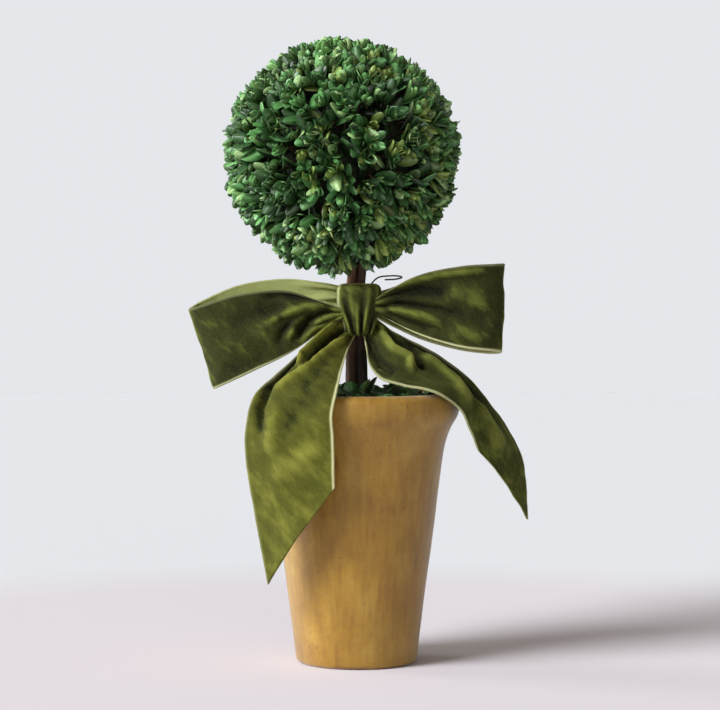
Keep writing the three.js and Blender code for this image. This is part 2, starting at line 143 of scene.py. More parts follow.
def quads(rows, columns):
    """The four corners of each cell of a grid of points whose rows are closed rings."""
    i = np.arange(rows - 1)[:, None]
    j = np.arange(columns)[None, :]
    right = (j + 1) % columns
    cells = [i * columns + j, i * columns + right, (i + 1) * columns + right, (i + 1) * columns + j]
    return np.stack([c + 0 * (i + j) for c in cells], axis=-1).reshape(-1, 4)


def shut_rings(grid, first, last, turn=False):
    """Points and faces of a grid whose rows are closed rings. A fan to the point first shuts the first
    ring, and one to last shuts the last. The faces look outwards where the rings run round +Z and
    climb, and turn reverses them."""
    rows, sides = grid.shape[:2]
    j = np.arange(sides)
    k = (j + 1) % sides
    end = (rows - 1) * sides
    fans = np.concatenate([
        np.stack([0 * j + rows * sides, k, j], axis=-1),
        np.stack([0 * j + rows * sides + 1, end + j, end + k], axis=-1),
    ])
    faces = [quads(rows, sides), fans]
    return np.vstack([grid.reshape(-1, 3), [first], [last]]), [f[:, ::-1] for f in faces] if turn else faces


def around(sides):
    """Angles evenly round a circle."""
    return 2 * math.pi * np.arange(sides) / sides


def round_z(radius, height, angle):
    """The points of a profile of radii and heights, carried round Z to each angle."""
    return np.stack([radius * np.cos(angle), radius * np.sin(angle), height + 0 * angle], axis=-1)


def put_mesh(name, points, faces, material, replaces, fields=None):
    """Makes a piece from points in millimetres and arrays of quads or triangles. Each of the fields
    gives one value to a point."""
    faces = faces if isinstance(faces, list) else [faces]
    loops = np.concatenate([f.ravel() for f in faces]).astype(np.int32)
    totals = np.concatenate([np.full(len(f), f.shape[1]) for f in faces]).astype(np.int32)
    starts = np.concatenate([[0], np.cumsum(totals)[:-1]]).astype(np.int32)
    mesh = bpy.data.meshes.new(name)
    mesh.vertices.add(len(points))
    mesh.vertices.foreach_set("co", (np.asarray(points) * MM).astype(np.float32).ravel())
    mesh.loops.add(len(loops))
    mesh.loops.foreach_set("vertex_index", loops)
    mesh.polygons.add(len(totals))
    mesh.polygons.foreach_set("loop_start", starts)
    mesh.polygons.foreach_set("use_smooth", np.ones(len(totals), dtype=bool))
    mesh.materials.append(material)
    for field, values in (fields or {}).items():
        attribute = mesh.attributes.new(field, "FLOAT", "POINT")
        attribute.data.foreach_set("value", np.asarray(values, np.float32))
    mesh.update(calc_edges=True)
    mesh.validate()
    piece = bpy.data.objects.new(name, mesh)
    bpy.context.scene.collection.objects.link(piece)
    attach(piece, "root")
    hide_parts(*replaces)


def normals_of(grid):
    """Unit normals of a grid of points: the step along the first side crossed with the second's."""
    return unit(np.cross(np.gradient(grid, axis=0), np.gradient(grid, axis=1)))


def tubes(paths, radii, sides):
    """Closed tubes round many paths at once. paths is (tube, station, 3) and radii is (tube, station).
    Each ring is a circle square to the path's step, and the end rings are shut with a point."""
    count, stations, _ = paths.shape
    tangent = unit(np.gradient(paths, axis=1))
    guide = np.where(np.abs(tangent[:, :1, 2:3]) < 0.9, [0.0, 0.0, 1.0], [1.0, 0.0, 0.0])
    side = unit(np.cross(tangent, guide))
    other = np.cross(tangent, side)
    angle = around(sides)
    ring = side[:, :, None] * np.cos(angle)[:, None] + other[:, :, None] * np.sin(angle)[:, None]
    skin = paths[:, :, None] + radii[:, :, None, None] * ring
    points = np.concatenate([skin.reshape(count, -1, 3), paths[:, :1], paths[:, -1:]], axis=1)
    _, faces = shut_rings(skin[0], paths[0, 0], paths[0, -1])
    offset = (np.arange(count) * (stations * sides + 2))[:, None, None]
    return points.reshape(-1, 3), [(f[None] + offset).reshape(-1, f.shape[1]) for f in faces]


# Materials. Patterns read the piece's own coordinates, scaled to millimetres, so a noise's scale is its
# grains to a millimetre

# A Mix node's sockets for colours go by number, as the node has others of the same names
AMOUNT, UNDER, OVER, MIXED = 0, 6, 7, 2


def linear(hex_colour):
    """An sRGB hex colour as linear red, green, blue and 1."""
    s = np.array([int(hex_colour[i : i + 2], 16) / 255 for i in (1, 3, 5)])
    return (*np.where(s <= 0.04045, s / 12.92, ((s + 0.055) / 1.055) ** 2.4), 1.0)


def add(tree, kind, inputs=None, out=0, stops=(), **settings):
    """Adds a node and gives back one of its outputs. Settings are its own properties, inputs maps an
    input's name or number to another node's output, a hex colour or a value, and stops are the places
    and hex colours of a ramp."""
    made = tree.nodes.new(kind)
    for key, value in settings.items():
        setattr(made, key, value)
    for key, value in (inputs or {}).items():
        if isinstance(value, bpy.types.NodeSocket):
            tree.links.new(value, made.inputs[key])
        else:
            made.inputs[key].default_value = linear(value) if isinstance(value, str) else value
    for number, (place, colour) in enumerate(stops):
        ramp = made.color_ramp.elements
        element = ramp[number] if number < 2 else ramp.new(place)
        element.position = place
        element.color = linear(colour)
    return made.outputs[out]


def start_material(name, **constants):
    """A material with one Principled shader, whose constant inputs are set on its own sockets."""
    material = bpy.data.materials.new(name)
    material.use_nodes = True
    shader = material.node_tree.nodes["Principled BSDF"]
    for key, value in constants.items():
        shader.inputs[key.replace("_", " ")].default_value = value
    return material, material.node_tree, shader


def slip_washed_earthenware():
    """Thrown earthenware with an ochre slip brushed on upright and left dry. The eye sees pale and
    brown upright streaks, cloudy blotches, freckles, a few pinholes, a ragged darker band at the very
    foot, and a soft gleam with a pale bloom towards the light."""
    material, t, shader = start_material(
        "slip_washed_earthenware", Roughness=0.46, IOR=1.45, Sheen_Weight=0.3, Sheen_Roughness=0.45
    )
    at = add(t, "ShaderNodeTexCoord", out="Object")
    even = add(t, "ShaderNodeMapping", {"Vector": at, "Scale": IN_MM})
    upright = add(t, "ShaderNodeMapping", {"Vector": at, "Scale": (1000, 1000, 90)})
    level = add(t, "ShaderNodeMapping", {"Vector": at, "Scale": (60, 60, 1000)})
    brushed = add(t, "ShaderNodeTexNoise", {"Vector": upright, "Scale": 0.42, "Detail": 5, "Roughness": 0.6})
    cloudy = add(t, "ShaderNodeTexNoise", {"Vector": even, "Scale": 0.055, "Detail": 4, "Roughness": 0.6})
    streak = add(t, "ShaderNodeValToRGB", {"Fac": brushed},
                 stops=[(0.3, "#7b5717"), (0.7, "#a37f2c"), (0.5, "#926e1f")])
    cloud = add(t, "ShaderNodeValToRGB", {"Fac": cloudy},
                stops=[(0.34, "#7c5616"), (0.66, "#a88738"), (0.5, "#946f20")])
    both = {AMOUNT: 0.5, UNDER: streak, OVER: cloud}
    colour = add(t, "ShaderNodeMix", both, out=MIXED, data_type="RGBA")
    dust = add(t, "ShaderNodeTexNoise", {"Vector": even, "Scale": 0.5, "Detail": 3, "Roughness": 0.7})
    fleck = add(t, "ShaderNodeMapRange", {"Value": dust, "From Min": 0.56, "From Max": 0.72, "To Max": 0.45})
    cell = add(t, "ShaderNodeTexVoronoi", {"Vector": even, "Scale": 0.3})
    hole = add(t, "ShaderNodeMath", {0: cell, 1: 0.13}, operation="LESS_THAN")
    where = add(t, "ShaderNodeTexNoise", {"Vector": even, "Scale": 0.09, "Detail": 1})
    patch = add(t, "ShaderNodeMapRange", {"Value": where, "From Min": 0.6, "From Max": 0.7, "To Max": 0.7})
    pinhole = add(t, "ShaderNodeMath", {0: hole, 1: patch}, operation="MULTIPLY")
    height = add(t, "ShaderNodeSeparateXYZ", {"Vector": even}, out="Z")
    # darker in a ragged band at the very foot
    ragged = add(t, "ShaderNodeMath", {0: cloudy, 1: 5.0, 2: height}, operation="MULTIPLY_ADD")
    darker_foot = add(t, "ShaderNodeMapRange", {"Value": ragged, "From Min": 3.6, "From Max": 2.4, "To Max": 0.75})
    for amount, tint in ((fleck, "#7a4f1e"), (pinhole, "#5f3f1c"), (darker_foot, "#6b421f")):
        layer = {AMOUNT: amount, UNDER: colour, OVER: tint}
        colour = add(t, "ShaderNodeMix", layer, out=MIXED, data_type="RGBA")
    t.links.new(colour, shader.inputs["Base Color"])
    turning = add(t, "ShaderNodeTexNoise", {"Vector": level, "Scale": 0.3, "Detail": 3})
    grit = add(t, "ShaderNodeTexNoise", {"Vector": even, "Scale": 1.6, "Detail": 3})
    relief = add(t, "ShaderNodeBump", {"Height": turning, "Distance": 0.6 * MM, "Strength": 0.35})
    for texture, deep, strength in ((brushed, 0.4, 0.3), (grit, 0.2, 0.55)):
        bumps = {"Height": texture, "Distance": deep * MM, "Strength": strength, "Normal": relief}
        relief = add(t, "ShaderNodeBump", bumps)
    holed = add(t, "ShaderNodeBump", {"Height": pinhole, "Distance": 0.4 * MM, "Normal": relief}, invert=True)
    t.links.new(holed, shader.inputs["Normal"])
    return material


def dry_moss(name, low, middle, high):
    """Dried moss and leaf dust, or crumbled dry foam: dull tufts about 4 mm across that are dark between
    and have no gleam."""
    material, t, shader = start_material(name, Roughness=0.95)
    at = add(t, "ShaderNodeTexCoord", out="Object")
    even = add(t, "ShaderNodeMapping", {"Vector": at, "Scale": IN_MM})
    tufts = add(t, "ShaderNodeTexNoise", {"Vector": even, "Scale": 0.25, "Detail": 5})
    colour = add(t, "ShaderNodeValToRGB", {"Fac": tufts}, stops=[(0.34, low), (0.68, high), (0.5, middle)])
    t.links.new(colour, shader.inputs["Base Color"])
    fibre = add(t, "ShaderNodeTexNoise", {"Vector": even, "Scale": 0.9, "Detail": 5, "Roughness": 0.7})
    rough = add(t, "ShaderNodeBump", {"Height": fibre, "Distance": 1.2 * MM, "Strength": 0.9})
    t.links.new(rough, shader.inputs["Normal"])
    return material


def twig_bark(name, deep, middle, worn, warm):
    """Bare twig bark, dried: brown with fine upright furrows, and redder and lighter where it is rubbed.
    Low down it is painted nearly black as shade under the bow, fading in from 150 mm to 125 mm."""
    material, t, shader = start_material(name, Roughness=0.78)
    at = add(t, "ShaderNodeTexCoord", out="Object")
    upright = add(t, "ShaderNodeMapping", {"Vector": at, "Scale": (1000, 1000, 130)})
    even = add(t, "ShaderNodeMapping", {"Vector": at, "Scale": (1000, 1000, 400)})
    furrow = add(t, "ShaderNodeTexNoise", {"Vector": upright, "Scale": 1.1, "Detail": 4})
    patch = add(t, "ShaderNodeTexNoise", {"Vector": even, "Scale": 0.16, "Detail": 3})
    colour = add(t, "ShaderNodeValToRGB", {"Fac": furrow}, stops=[(0.33, deep), (0.7, worn), (0.5, middle)])
    rubbed = add(t, "ShaderNodeMapRange", {"Value": patch, "From Min": 0.45, "From Max": 0.62, "To Max": 0.6})
    height = add(t, "ShaderNodeSeparateXYZ", {"Vector": at}, out="Z")
    # painted shade: darker low down, under the bow
    shade_below_bow = {"Value": height, "From Min": 150 * MM, "From Max": 125 * MM, "To Max": 0.7}
    painted_shade_below_bow = add(t, "ShaderNodeMapRange", shade_below_bow)
    for amount, tint in ((rubbed, warm), (painted_shade_below_bow, "#150e0a")):
        layer = {AMOUNT: amount, UNDER: colour, OVER: tint}
        colour = add(t, "ShaderNodeMix", layer, out=MIXED, data_type="RGBA")
    t.links.new(colour, shader.inputs["Base Color"])
    relief = add(t, "ShaderNodeBump", {"Height": furrow, "Distance": 0.3 * MM, "Strength": 0.9})
    t.links.new(relief, shader.inputs["Normal"])
    return material


def preserved_leaf(name, face, back, rib):
    """A box leaf kept supple with glycerine and dye: waxy with a satin gleam, paler behind, with a fine
    light midrib and a faint mottle, and darker where its shade says that it lies deep in the crown. The
    three colours are one tint of the spray."""
    material, t, shader = start_material(name, Roughness=0.44, IOR=1.46, Coat_Weight=0.08, Coat_Roughness=0.3)
    behind, midrib, shade = (
        add(t, "ShaderNodeAttribute", out="Fac", attribute_name=field)
        for field in ("behind", "midrib", "shade")
    )
    at = add(t, "ShaderNodeTexCoord", out="Object")
    even = add(t, "ShaderNodeMapping", {"Vector": at, "Scale": IN_MM})
    blot = add(t, "ShaderNodeTexNoise", {"Vector": even, "Scale": 0.3, "Detail": 3})
    faint = {"Value": blot, "From Min": 0.35, "From Max": 0.65, "To Min": 0.3, "To Max": 0.0}
    mottle = add(t, "ShaderNodeMapRange", faint)
    veined = add(t, "ShaderNodeMapRange", {"Value": midrib, "From Min": 0.7, "From Max": 1.0, "To Max": 0.8})
    colour = face
    for amount, tint in ((mottle, "#0f2409"), (veined, rib), (behind, back), (shade, "#060d04")):
        layer = {AMOUNT: amount, UNDER: colour, OVER: tint}
        colour = add(t, "ShaderNodeMix", layer, out=MIXED, data_type="RGBA")
    t.links.new(colour, shader.inputs["Base Color"])
    pores = add(t, "ShaderNodeTexNoise", {"Vector": even, "Scale": 0.8, "Detail": 2})
    relief = add(t, "ShaderNodeBump", {"Height": pores, "Distance": 0.1 * MM, "Strength": 0.5})
    t.links.new(relief, shader.inputs["Normal"])
    return material


def cut_velvet(name, deep, crushed, bloom):
    """Cut velvet ribbon. Its pile is dark face on, glows where it turns away, and is paler in the
    streaks where it was crushed. Along the folds' ridges it is painted paler and in their hollows painted
    dark, as light and shade.
    The woven back is a flat pale sage, and each selvedge is a pale straw line about 1 mm wide. The pile
    is really 0.2 mm apart, and is drawn at 0.6 mm so that it shows."""
    material, t, shader = start_material(
        name, Roughness=0.9, Specular_IOR_Level=0.15, Sheen_Weight=0.3, Sheen_Roughness=0.3
    )
    shader.inputs["Sheen Tint"].default_value = linear("#c3c56f")
    edge, back, painted_shading = (
        add(t, "ShaderNodeAttribute", out="Fac", attribute_name=field)
        for field in ("edge", "back", "painted_shading")
    )
    at = add(t, "ShaderNodeTexCoord", out="Object")
    even = add(t, "ShaderNodeMapping", {"Vector": at, "Scale": IN_MM})
    stretch = {"Vector": at, "Rotation": (0, 0.75, 0), "Scale": (2.6 * MM, 1.2 * MM, MM)}
    slant = add(t, "ShaderNodeMapping", stretch, vector_type="TEXTURE")
    streaks = {"Vector": slant, "Scale": 0.2, "Detail": 5, "Roughness": 0.6, "Distortion": 0.15}
    crush = add(t, "ShaderNodeTexNoise", streaks)
    lay = add(t, "ShaderNodeMath", {0: painted_shading, 1: 0.34, 2: crush}, operation="MULTIPLY_ADD")
    pile = add(t, "ShaderNodeTexNoise", {"Vector": even, "Scale": 1.7, "Detail": 2})
    # painted light and shade: fold ridges run up to the bloom tint and hollows down to near black
    colour = add(t, "ShaderNodeValToRGB", {"Fac": lay},
                 stops=[(0.1, "#0b0c04"), (0.92, bloom), (0.36, deep), (0.56, crushed)])
    speck = add(t, "ShaderNodeMapRange", {"Value": pile, "From Min": 0.45, "From Max": 0.75, "To Max": 0.15})
    for amount, tint in ((speck, bloom), (back, "#8b9159"), (edge, "#c6c795")):
        layer = {AMOUNT: amount, UNDER: colour, OVER: tint}
        colour = add(t, "ShaderNodeMix", layer, out=MIXED, data_type="RGBA")
    t.links.new(colour, shader.inputs["Base Color"])
    dent = add(t, "ShaderNodeBump", {"Height": crush, "Distance": 0.9 * MM, "Strength": 0.5})
    tufted = add(t, "ShaderNodeBump", {"Height": pile, "Distance": 0.3 * MM, "Strength": 0.5, "Normal": dent})
    t.links.new(tufted, shader.inputs["Normal"])
    return material


def enamelled_wire():
    """Florist's stub wire dipped in dark green enamel: smooth, with a soft gleam."""
    material, t, shader = start_material("enamelled_wire", Roughness=0.4)
    at = add(t, "ShaderNodeTexCoord", out="Object")
    even = add(t, "ShaderNodeMapping", {"Vector": at, "Scale": IN_MM})
    dip = add(t, "ShaderNodeTexNoise", {"Vector": even, "Scale": 0.5, "Detail": 2})
    colour = add(t, "ShaderNodeValToRGB", {"Fac": dip}, stops=[(0.3, "#14180f"), (0.7, "#2e3327")])
    t.links.new(colour, shader.inputs["Base Color"])
    return material


CLAY = slip_washed_earthenware()
MOSS = dry_moss("dry_moss", "#0b0f07", "#18240f", "#2f4220")
FOAM = dry_moss("dry_planting_foam", "#1f1a10", "#32291a", "#463b26")
BARK = twig_bark("dried_twig_bark", "#1d130d", "#3c291d", "#634632", "#57382a")
# painted light: a lighter copy of the bark for the left stem, which stands towards the light
LIT_STEM_BARK = twig_bark("twig_bark_painted_lit", "#3a2519", "#6b4835", "#916a50", "#8a5a44")
# Painted light and shade: one velvet in three copies, the darkest for the loops and knot, the lightest for
# the left tail, and the right tail between.
LOOP_VELVET = cut_velvet("cut_velvet_painted_shade", "#24260e", "#2f3212", "#666d2d")
LIT_VELVET = cut_velvet("cut_velvet_painted_lit", "#3e4113", "#4c4e18", "#787a30")
TAIL_VELVET = cut_velvet("cut_velvet_painted_half_lit", "#2c2f11", "#3a3e16", "#6e7432")
WIRE = enamelled_wire()
DEEP, MID, FRESH, YELLOWED, PALE = range(5)
LEAF_TINTS = [
    preserved_leaf("box_leaf_deep", "#2a5024", "#52713a", "#3e6837"),
    preserved_leaf("box_leaf_mid", "#447a40", "#6b8d4b", "#5f9453"),
    preserved_leaf("box_leaf_fresh", "#599c52", "#83ab63", "#82b672"),
    preserved_leaf("box_leaf_yellowed", "#83a047", "#98aa5d", "#a8bd6c"),
    preserved_leaf("box_leaf_pale", "#95bf76", "#aac688", "#b8d19a"),
]


# The pot, the stems and what they stand in


def pot_radius(z):
    """A straight taper from foot to neck, flared out above it as the cube of the way up to the lip."""
    flare = POT_FLARE * np.clip((z - POT_NECK) / (POT_LIP - POT_NECK), 0, 1) ** 3
    return mix(POT_FOOT_RADIUS, POT_NECK_RADIUS, z / POT_NECK) + flare


def arc(centre, radius, start, end, steps):
    """Points along an arc round a centre, from one angle to another."""
    angle = np.linspace(start, end, steps)
    return np.stack([centre[0] + radius * np.cos(angle), centre[1] + radius * np.sin(angle)], axis=-1)


def make_pot():
    """The profile carried round Z: a rounded foot, the flared wall, a rolled rim and the inner wall.
    Its radius is nudged by slow lumps of 0.25, nearly all inwards, as a wall drawn up by hand is."""
    rounding = 2.2
    outer = np.linspace(rounding + 0.2, POT_LIP - 2, 60)
    inner = np.linspace(POT_INNER_TOP, POT_FLOOR, 16)
    profile = np.vstack([
        arc((pot_radius(rounding) - rounding, rounding), rounding, -math.pi / 2, 0, 7)[:-1],
        np.stack([pot_radius(outer), outer], axis=-1),
        through([(40.85, 99.6), (41.55, 101.4), (41.95, 103.6), (41.9, 105.6)], np.linspace(0, 1, 9)),
        arc((38.5, 106.6), 3.4, 0.0, math.pi / 2, 10),
        arc((38.3, 108.5), 1.5, math.pi / 2, math.pi, 6)[1:],
        np.stack([pot_radius(inner) - POT_WALL, inner], axis=-1)[1:],
    ])
    radius, height = profile[:, :1], profile[:, 1:]
    grid = round_z(radius, height, around(180))
    push = 0.25 * lumps(grid, size=45, seed=3, octaves=2) * smooth_step(0, 12, height)
    grid[..., :2] *= 1 + (np.minimum(push, 0.02) / radius)[..., None]
    points, faces = shut_rings(grid, (0, 0, 0), (0, 0, POT_FLOOR))
    put_mesh("clay_pot", points, faces, CLAY, ("pot",))


def make_moss():
    """A mound of moss over the fill. Its floor is flat, and its top falls to the pot's wall and
    carries lumps of four sizes."""
    floor = STEM_FOOT + 0.1
    radius = np.concatenate([[0.05, MOSS_OUTER - 0.4], np.linspace(MOSS_OUTER, 0.05, 46)])[:, None]
    angle = around(150)
    x, y = radius * np.cos(angle), radius * np.sin(angle)
    fall = mix(MOSS_TOP + 0.4, MOSS_TOP - 2.6, smooth_step(22, MOSS_OUTER, radius)) + 0 * angle
    tufts = 1.5 * lumps(np.stack([x, y, 0 * x], axis=-1), size=14, seed=5, octaves=4)
    height = fall + tufts * smooth_step(MOSS_OUTER, MOSS_OUTER - 4, radius)
    height[:2] = floor
    grid = np.stack([x, y, np.maximum(height, floor)], axis=-1)
    points, faces = shut_rings(grid, (0, 0, floor), grid[-1].mean(axis=0))
    put_mesh("moss_mound", points, faces, MOSS, ("foot_leaves",))


def make_stem(name, stem, bark):
    """A tube that leans from foot to top with two slow bends. Its radius tapers, swells at the foot
    and five times on the way up, with a thin ring of scar between the swells, and carries furrows:
    sines of the angle whose phase wanders with the height."""
    t = np.linspace(0, 1, 150)[:, None]
    angle = around(40)
    bend = 0.35 * np.sin(2.2 * math.pi * t) + 0.2 * np.sin(5 * math.pi * t)
    x = mix(stem["foot"][0], stem["top"][0], t) + bend
    y = mix(stem["foot"][1], stem["top"][1], t) + 0.5 * bend
    z = mix(STEM_FOOT, STEM_TOP, t) + 0 * angle
    node = 5 * t + stem["phase"]
    swell = mix(1.12, 1, np.minimum(1, 8 * t)) * (1 + 0.05 * np.cos(2 * math.pi * node)) / 1.05
    wander = 1.3 * np.sin(7 * t + 4 * stem["phase"])
    furrow = np.sin(7 * angle + wander) + 0.6 * np.sin(11 * angle - 2 * wander)
    furrow = furrow + 0.5 * np.sin(4 * angle + 9 * t)
    scar = np.exp(-(((node % 1 - 0.5) / 0.06) ** 2))
    radius = mix(*stem["radius"], t) * swell * (0.985 + 0.016 * furrow + 0.05 * scar)
    grid = np.stack([x + radius * np.cos(angle), y + radius * np.sin(angle), z], axis=-1)
    points, faces = shut_rings(grid, (x[0, 0], y[0, 0], STEM_FOOT), (x[-1, 0], y[-1, 0], STEM_TOP))
    put_mesh("bark_" + name, points, faces, bark, (name,))


# Leaves and twigs


def leaf_batch(base, direction, face, length, width, cup, droop):
    """Many box leaves at once, as points (leaf, point, 3), the triangles of one leaf, and the midrib
    and behind values of its points. Each is an oval that is widest past its middle, with stations
    along its midrib. Its halves rise from the midrib by cup, the blade bends back by droop times the
    square of the way along, and its underside is a second skin under the midrib."""
    along = np.array([0.09, 0.24, 0.44, 0.64, 0.82, 0.94])
    half = np.array([0.3, 0.7, 0.96, 1.0, 0.78, 0.44])
    side = unit(np.cross(direction, face))
    base, direction, side, face = (v[:, None, :] for v in (base, direction, side, face))
    length, width, cup, droop = (v[:, None, None] for v in (length, width, cup, droop))
    s, h = along[None, :, None], half[None, :, None]
    middle = base + direction * length * s - face * droop * length * s**2
    edge = side * h * width / 2
    lift = face * cup * h * width / 2
    under = middle - face * (0.14 + 0.2 * h)
    tip = base + direction * length * 0.99 - face * droop * length * 0.98
    skin = np.stack([middle - edge + lift, middle, middle + edge + lift, under], axis=2)
    points = np.concatenate([skin.reshape(len(base), -1, 3), base, tip], axis=1)
    _, (body, fans) = shut_rings(skin[0], base[0, 0], tip[0, 0])
    triangles = np.concatenate([body[:, [0, 1, 2]], body[:, [0, 2, 3]], fans])
    midrib = np.concatenate([np.tile([0, 1, 0, 0], len(along)), [1, 0.5]])
    behind = np.concatenate([np.tile([0.12, 0, 0.12, 1], len(along)), [0, 0]])
    return points, triangles, midrib, behind


def turned_from(axis, azimuth, pitch):
    """Directions turned from each axis by a pitch towards an azimuth, and where the leaf's face looks."""
    guide = np.where(np.abs(axis[:, 2:]) < 0.9, [0.0, 0.0, 1.0], [1.0, 0.0, 0.0])
    side = unit(np.cross(axis, guide))
    other = np.cross(axis, side)
    outward = side * np.cos(azimuth)[:, None] + other * np.sin(azimuth)[:, None]
    c, s = np.cos(pitch)[:, None], np.sin(pitch)[:, None]
    return axis * c + outward * s, axis * s - outward * c


def crown_reach(direction):
    """The clipped surface's distance from the crown's centre: a sphere with a slow wave of 0.37 on each
    axis, left up to 1.4 fuller towards the lower left."""
    waves = sum(np.sin(rate * direction[:, i] + phase) for i, (rate, phase) in enumerate(CROWN_WAVES))
    lower_left = np.clip(-0.85 * direction[:, 0] - 0.5 * direction[:, 2], 0, 1)
    return CROWN_REACH + 0.37 * waves + 1.4 * lower_left


def clip_lengths(base, direction, length, room):
    """Lengths cut so that each tip stays inside the clipped surface by its room: 32 times over, what
    still reaches too far loses a fiftieth, down to 0.4 of its length."""
    kept = length.copy()
    for _ in range(32):
        arm = base + direction * kept[:, None] - CROWN_CENTRE
        far = np.linalg.norm(arm, axis=1)
        over = far > crown_reach(arm / far[:, None]) - room
        kept = np.where(over & (kept > 0.4 * length), kept - 0.02 * length, kept)
    return kept


def near_stems(points, clearance):
    """Which points lie below the crown's centre and within the clearance of the stems' middle."""
    return (points[:, 2] < CROWN_CENTRE[2]) & (np.hypot(points[:, 0], points[:, 1]) < clearance)


def put_leaves(name, batch, mine, shade, material, replaces):
    """Makes one piece of the leaves in a batch that are marked as mine."""
    points, triangles, midrib, behind = batch
    points = points[mine]
    count, per, _ = points.shape
    faces = (triangles[None] + (np.arange(count) * per)[:, None, None]).reshape(-1, 3)
    fields = {"midrib": np.tile(midrib, count), "behind": np.tile(behind, count)}
    fields["shade"] = np.repeat(shade[mine], per)
    put_mesh(name, points.reshape(-1, 3), faces, material, replaces, fields)


# Sprigs: heights are from the crown's centre, pitches from the twig in radians, and each jitter is the
# most that its measure may vary. A pair is its height, its pitch and its leaves' length

SPRIG_COUNT = 620
AXIS_JITTER = 0.06
LEAN = 0.3
TWIG_ROOT = 30
TWIG_LENGTH = 11.8
PAIRS = ((37.4, 0.74, 12.4), (39.0, 0.5, 12.2), (40.4, 0.28, 11.0))
HEIGHT_JITTER = 1.4
PITCH_JITTER = 0.42
AZIMUTH_JITTER = 1.2
LENGTH_JITTER = 0.15
SPRIG_MIDDLE = 43
SPRIG_CLEARANCE = 6.5
TIP_CLEARANCE = 5.2
BOUGH_REACH = 31
CORE_RADIUS = 34.5


def deal_tints(n, sprig, out):
    """Each leaf's tint, dealt mostly by its sprig: DEEP ones more often on the left, FRESH ones at the
    top and bottom as painted light, YELLOWED ones on the right, and a few PALE and DEEP ones leaf by
    leaf, the PALE ones also leaning to the top and bottom as painted light."""
    deal = jitter(sprig, 95)
    # painted light: the FRESH and PALE tints lean towards the crown's top and bottom, where it is brightest
    painted_light_top_bottom = 0.55 * np.abs(out[:, 2] - 0.05) - 0.05 * out[:, 0]
    gold = 0.4 * out[:, 0] - 0.1 * out[:, 2] - 0.15 * out[:, 1]
    tint = np.full(len(n), MID)
    tint[deal < -0.3 - 0.35 * np.minimum(out[:, 0], 0)] = DEEP
    tint[deal + 0.8 * painted_light_top_bottom > 0.42] = FRESH
    tint[jitter(sprig, 96) + gold > 0.8] = YELLOWED
    tint[jitter(n, 97) + 0.3 * painted_light_top_bottom > 0.86] = PALE
    tint[jitter(n, 98) < -0.72] = DEEP
    return tint


def make_crown():
    """Sprigs by the part's rule, with over five times as many: each axis is spread over the sphere and
    nudged, and its twig leans off it and carries crosswise pairs of leaves whose pitch closes towards
    the tip, and a small pair at the tip. Leaves are clipped to the crown's surface, each sprig with its
    own room, and what would touch the stems is left out. Leaves that lie deep are shaded. Gives back
    the sprigs' numbers, axes and leans."""
    k = np.arange(SPRIG_COUNT)
    axis = spread(k, SPRIG_COUNT, AXIS_JITTER)
    clear = ~near_stems(CROWN_CENTRE + SPRIG_MIDDLE * axis, SPRIG_CLEARANCE)
    k, axis = k[clear], axis[clear]
    lean = unit(axis + LEAN * jitters(k, 41, 42, 43))
    root = CROWN_CENTRE + axis * TWIG_ROOT
    parts = []
    for pair, (height, pitch, size) in enumerate(PAIRS):
        for side in (0, 1):
            salt = 10 + 2 * pair + side
            azimuth = k * GOLDEN_ANGLE + pair * math.pi / 2 + side * math.pi
            azimuth = azimuth + AZIMUTH_JITTER * jitter(k, salt)
            way, face = turned_from(lean, azimuth, pitch + PITCH_JITTER * jitter(k, salt + 10))
            base = root + lean * (height - TWIG_ROOT + HEIGHT_JITTER * jitter(k, salt + 20))[:, None]
            parts.append((base, way, face, size * (1 + LENGTH_JITTER * jitter(k, salt + 30)), k))
    for side in (0, 1):
        azimuth = k * 1.9 + side * math.pi + 0.6 * jitter(k, 71 + side)
        way, face = turned_from(lean, azimuth, 0.16 + 0.12 * jitter(k, 73 + side))
        base = root + lean * (10.3 + 1.2 * jitter(k, 75 + side))[:, None]
        parts.append((base, way, face, 8.0 * (1 + LENGTH_JITTER * jitter(k, 77 + side)), k))
    base, way, face, length, sprig = (np.concatenate([p[i] for p in parts]) for i in range(5))
    n = np.arange(len(base))
    room = 1.9 * (1 + jitter(sprig, 90)) + 0.8 * (1 + jitter(n, 89)) - 1.3
    length = clip_lengths(base, way, length, room)
    keep = ~near_stems(base + way * length[:, None], TIP_CLEARANCE)
    base, way, face, length, sprig, n = (v[keep] for v in (base, way, face, length, sprig, n))
    face = unit(face + 0.9 * jitter(n, 91)[:, None] * np.cross(way, face))
    width = np.clip(length, 7.5, 20) * (0.43 + 0.08 * jitter(n, 92))
    cup, droop = 0.2 + 0.22 * jitter(n, 93), 0.04 + 0.18 * jitter(n, 94)
    batch = leaf_batch(base, way, face, length, width, cup, droop)
    depth = np.linalg.norm(base + way * (0.6 * length)[:, None] - CROWN_CENTRE, axis=1)
    # painted shade: leaves that lie deep are darkened, and some a little more at random
    shade = 0.8 * smooth_step(45.0, 40.0, depth) + 0.12 * smooth_step(-0.2, 1.0, jitter(n, 99))
    tint = deal_tints(n, sprig, unit(base - CROWN_CENTRE))
    for number, material in enumerate(LEAF_TINTS):
        put_leaves(f"{material.name}_sprays", batch, tint == number, shade, material, ("leaf_ball",))
    return k, axis, lean


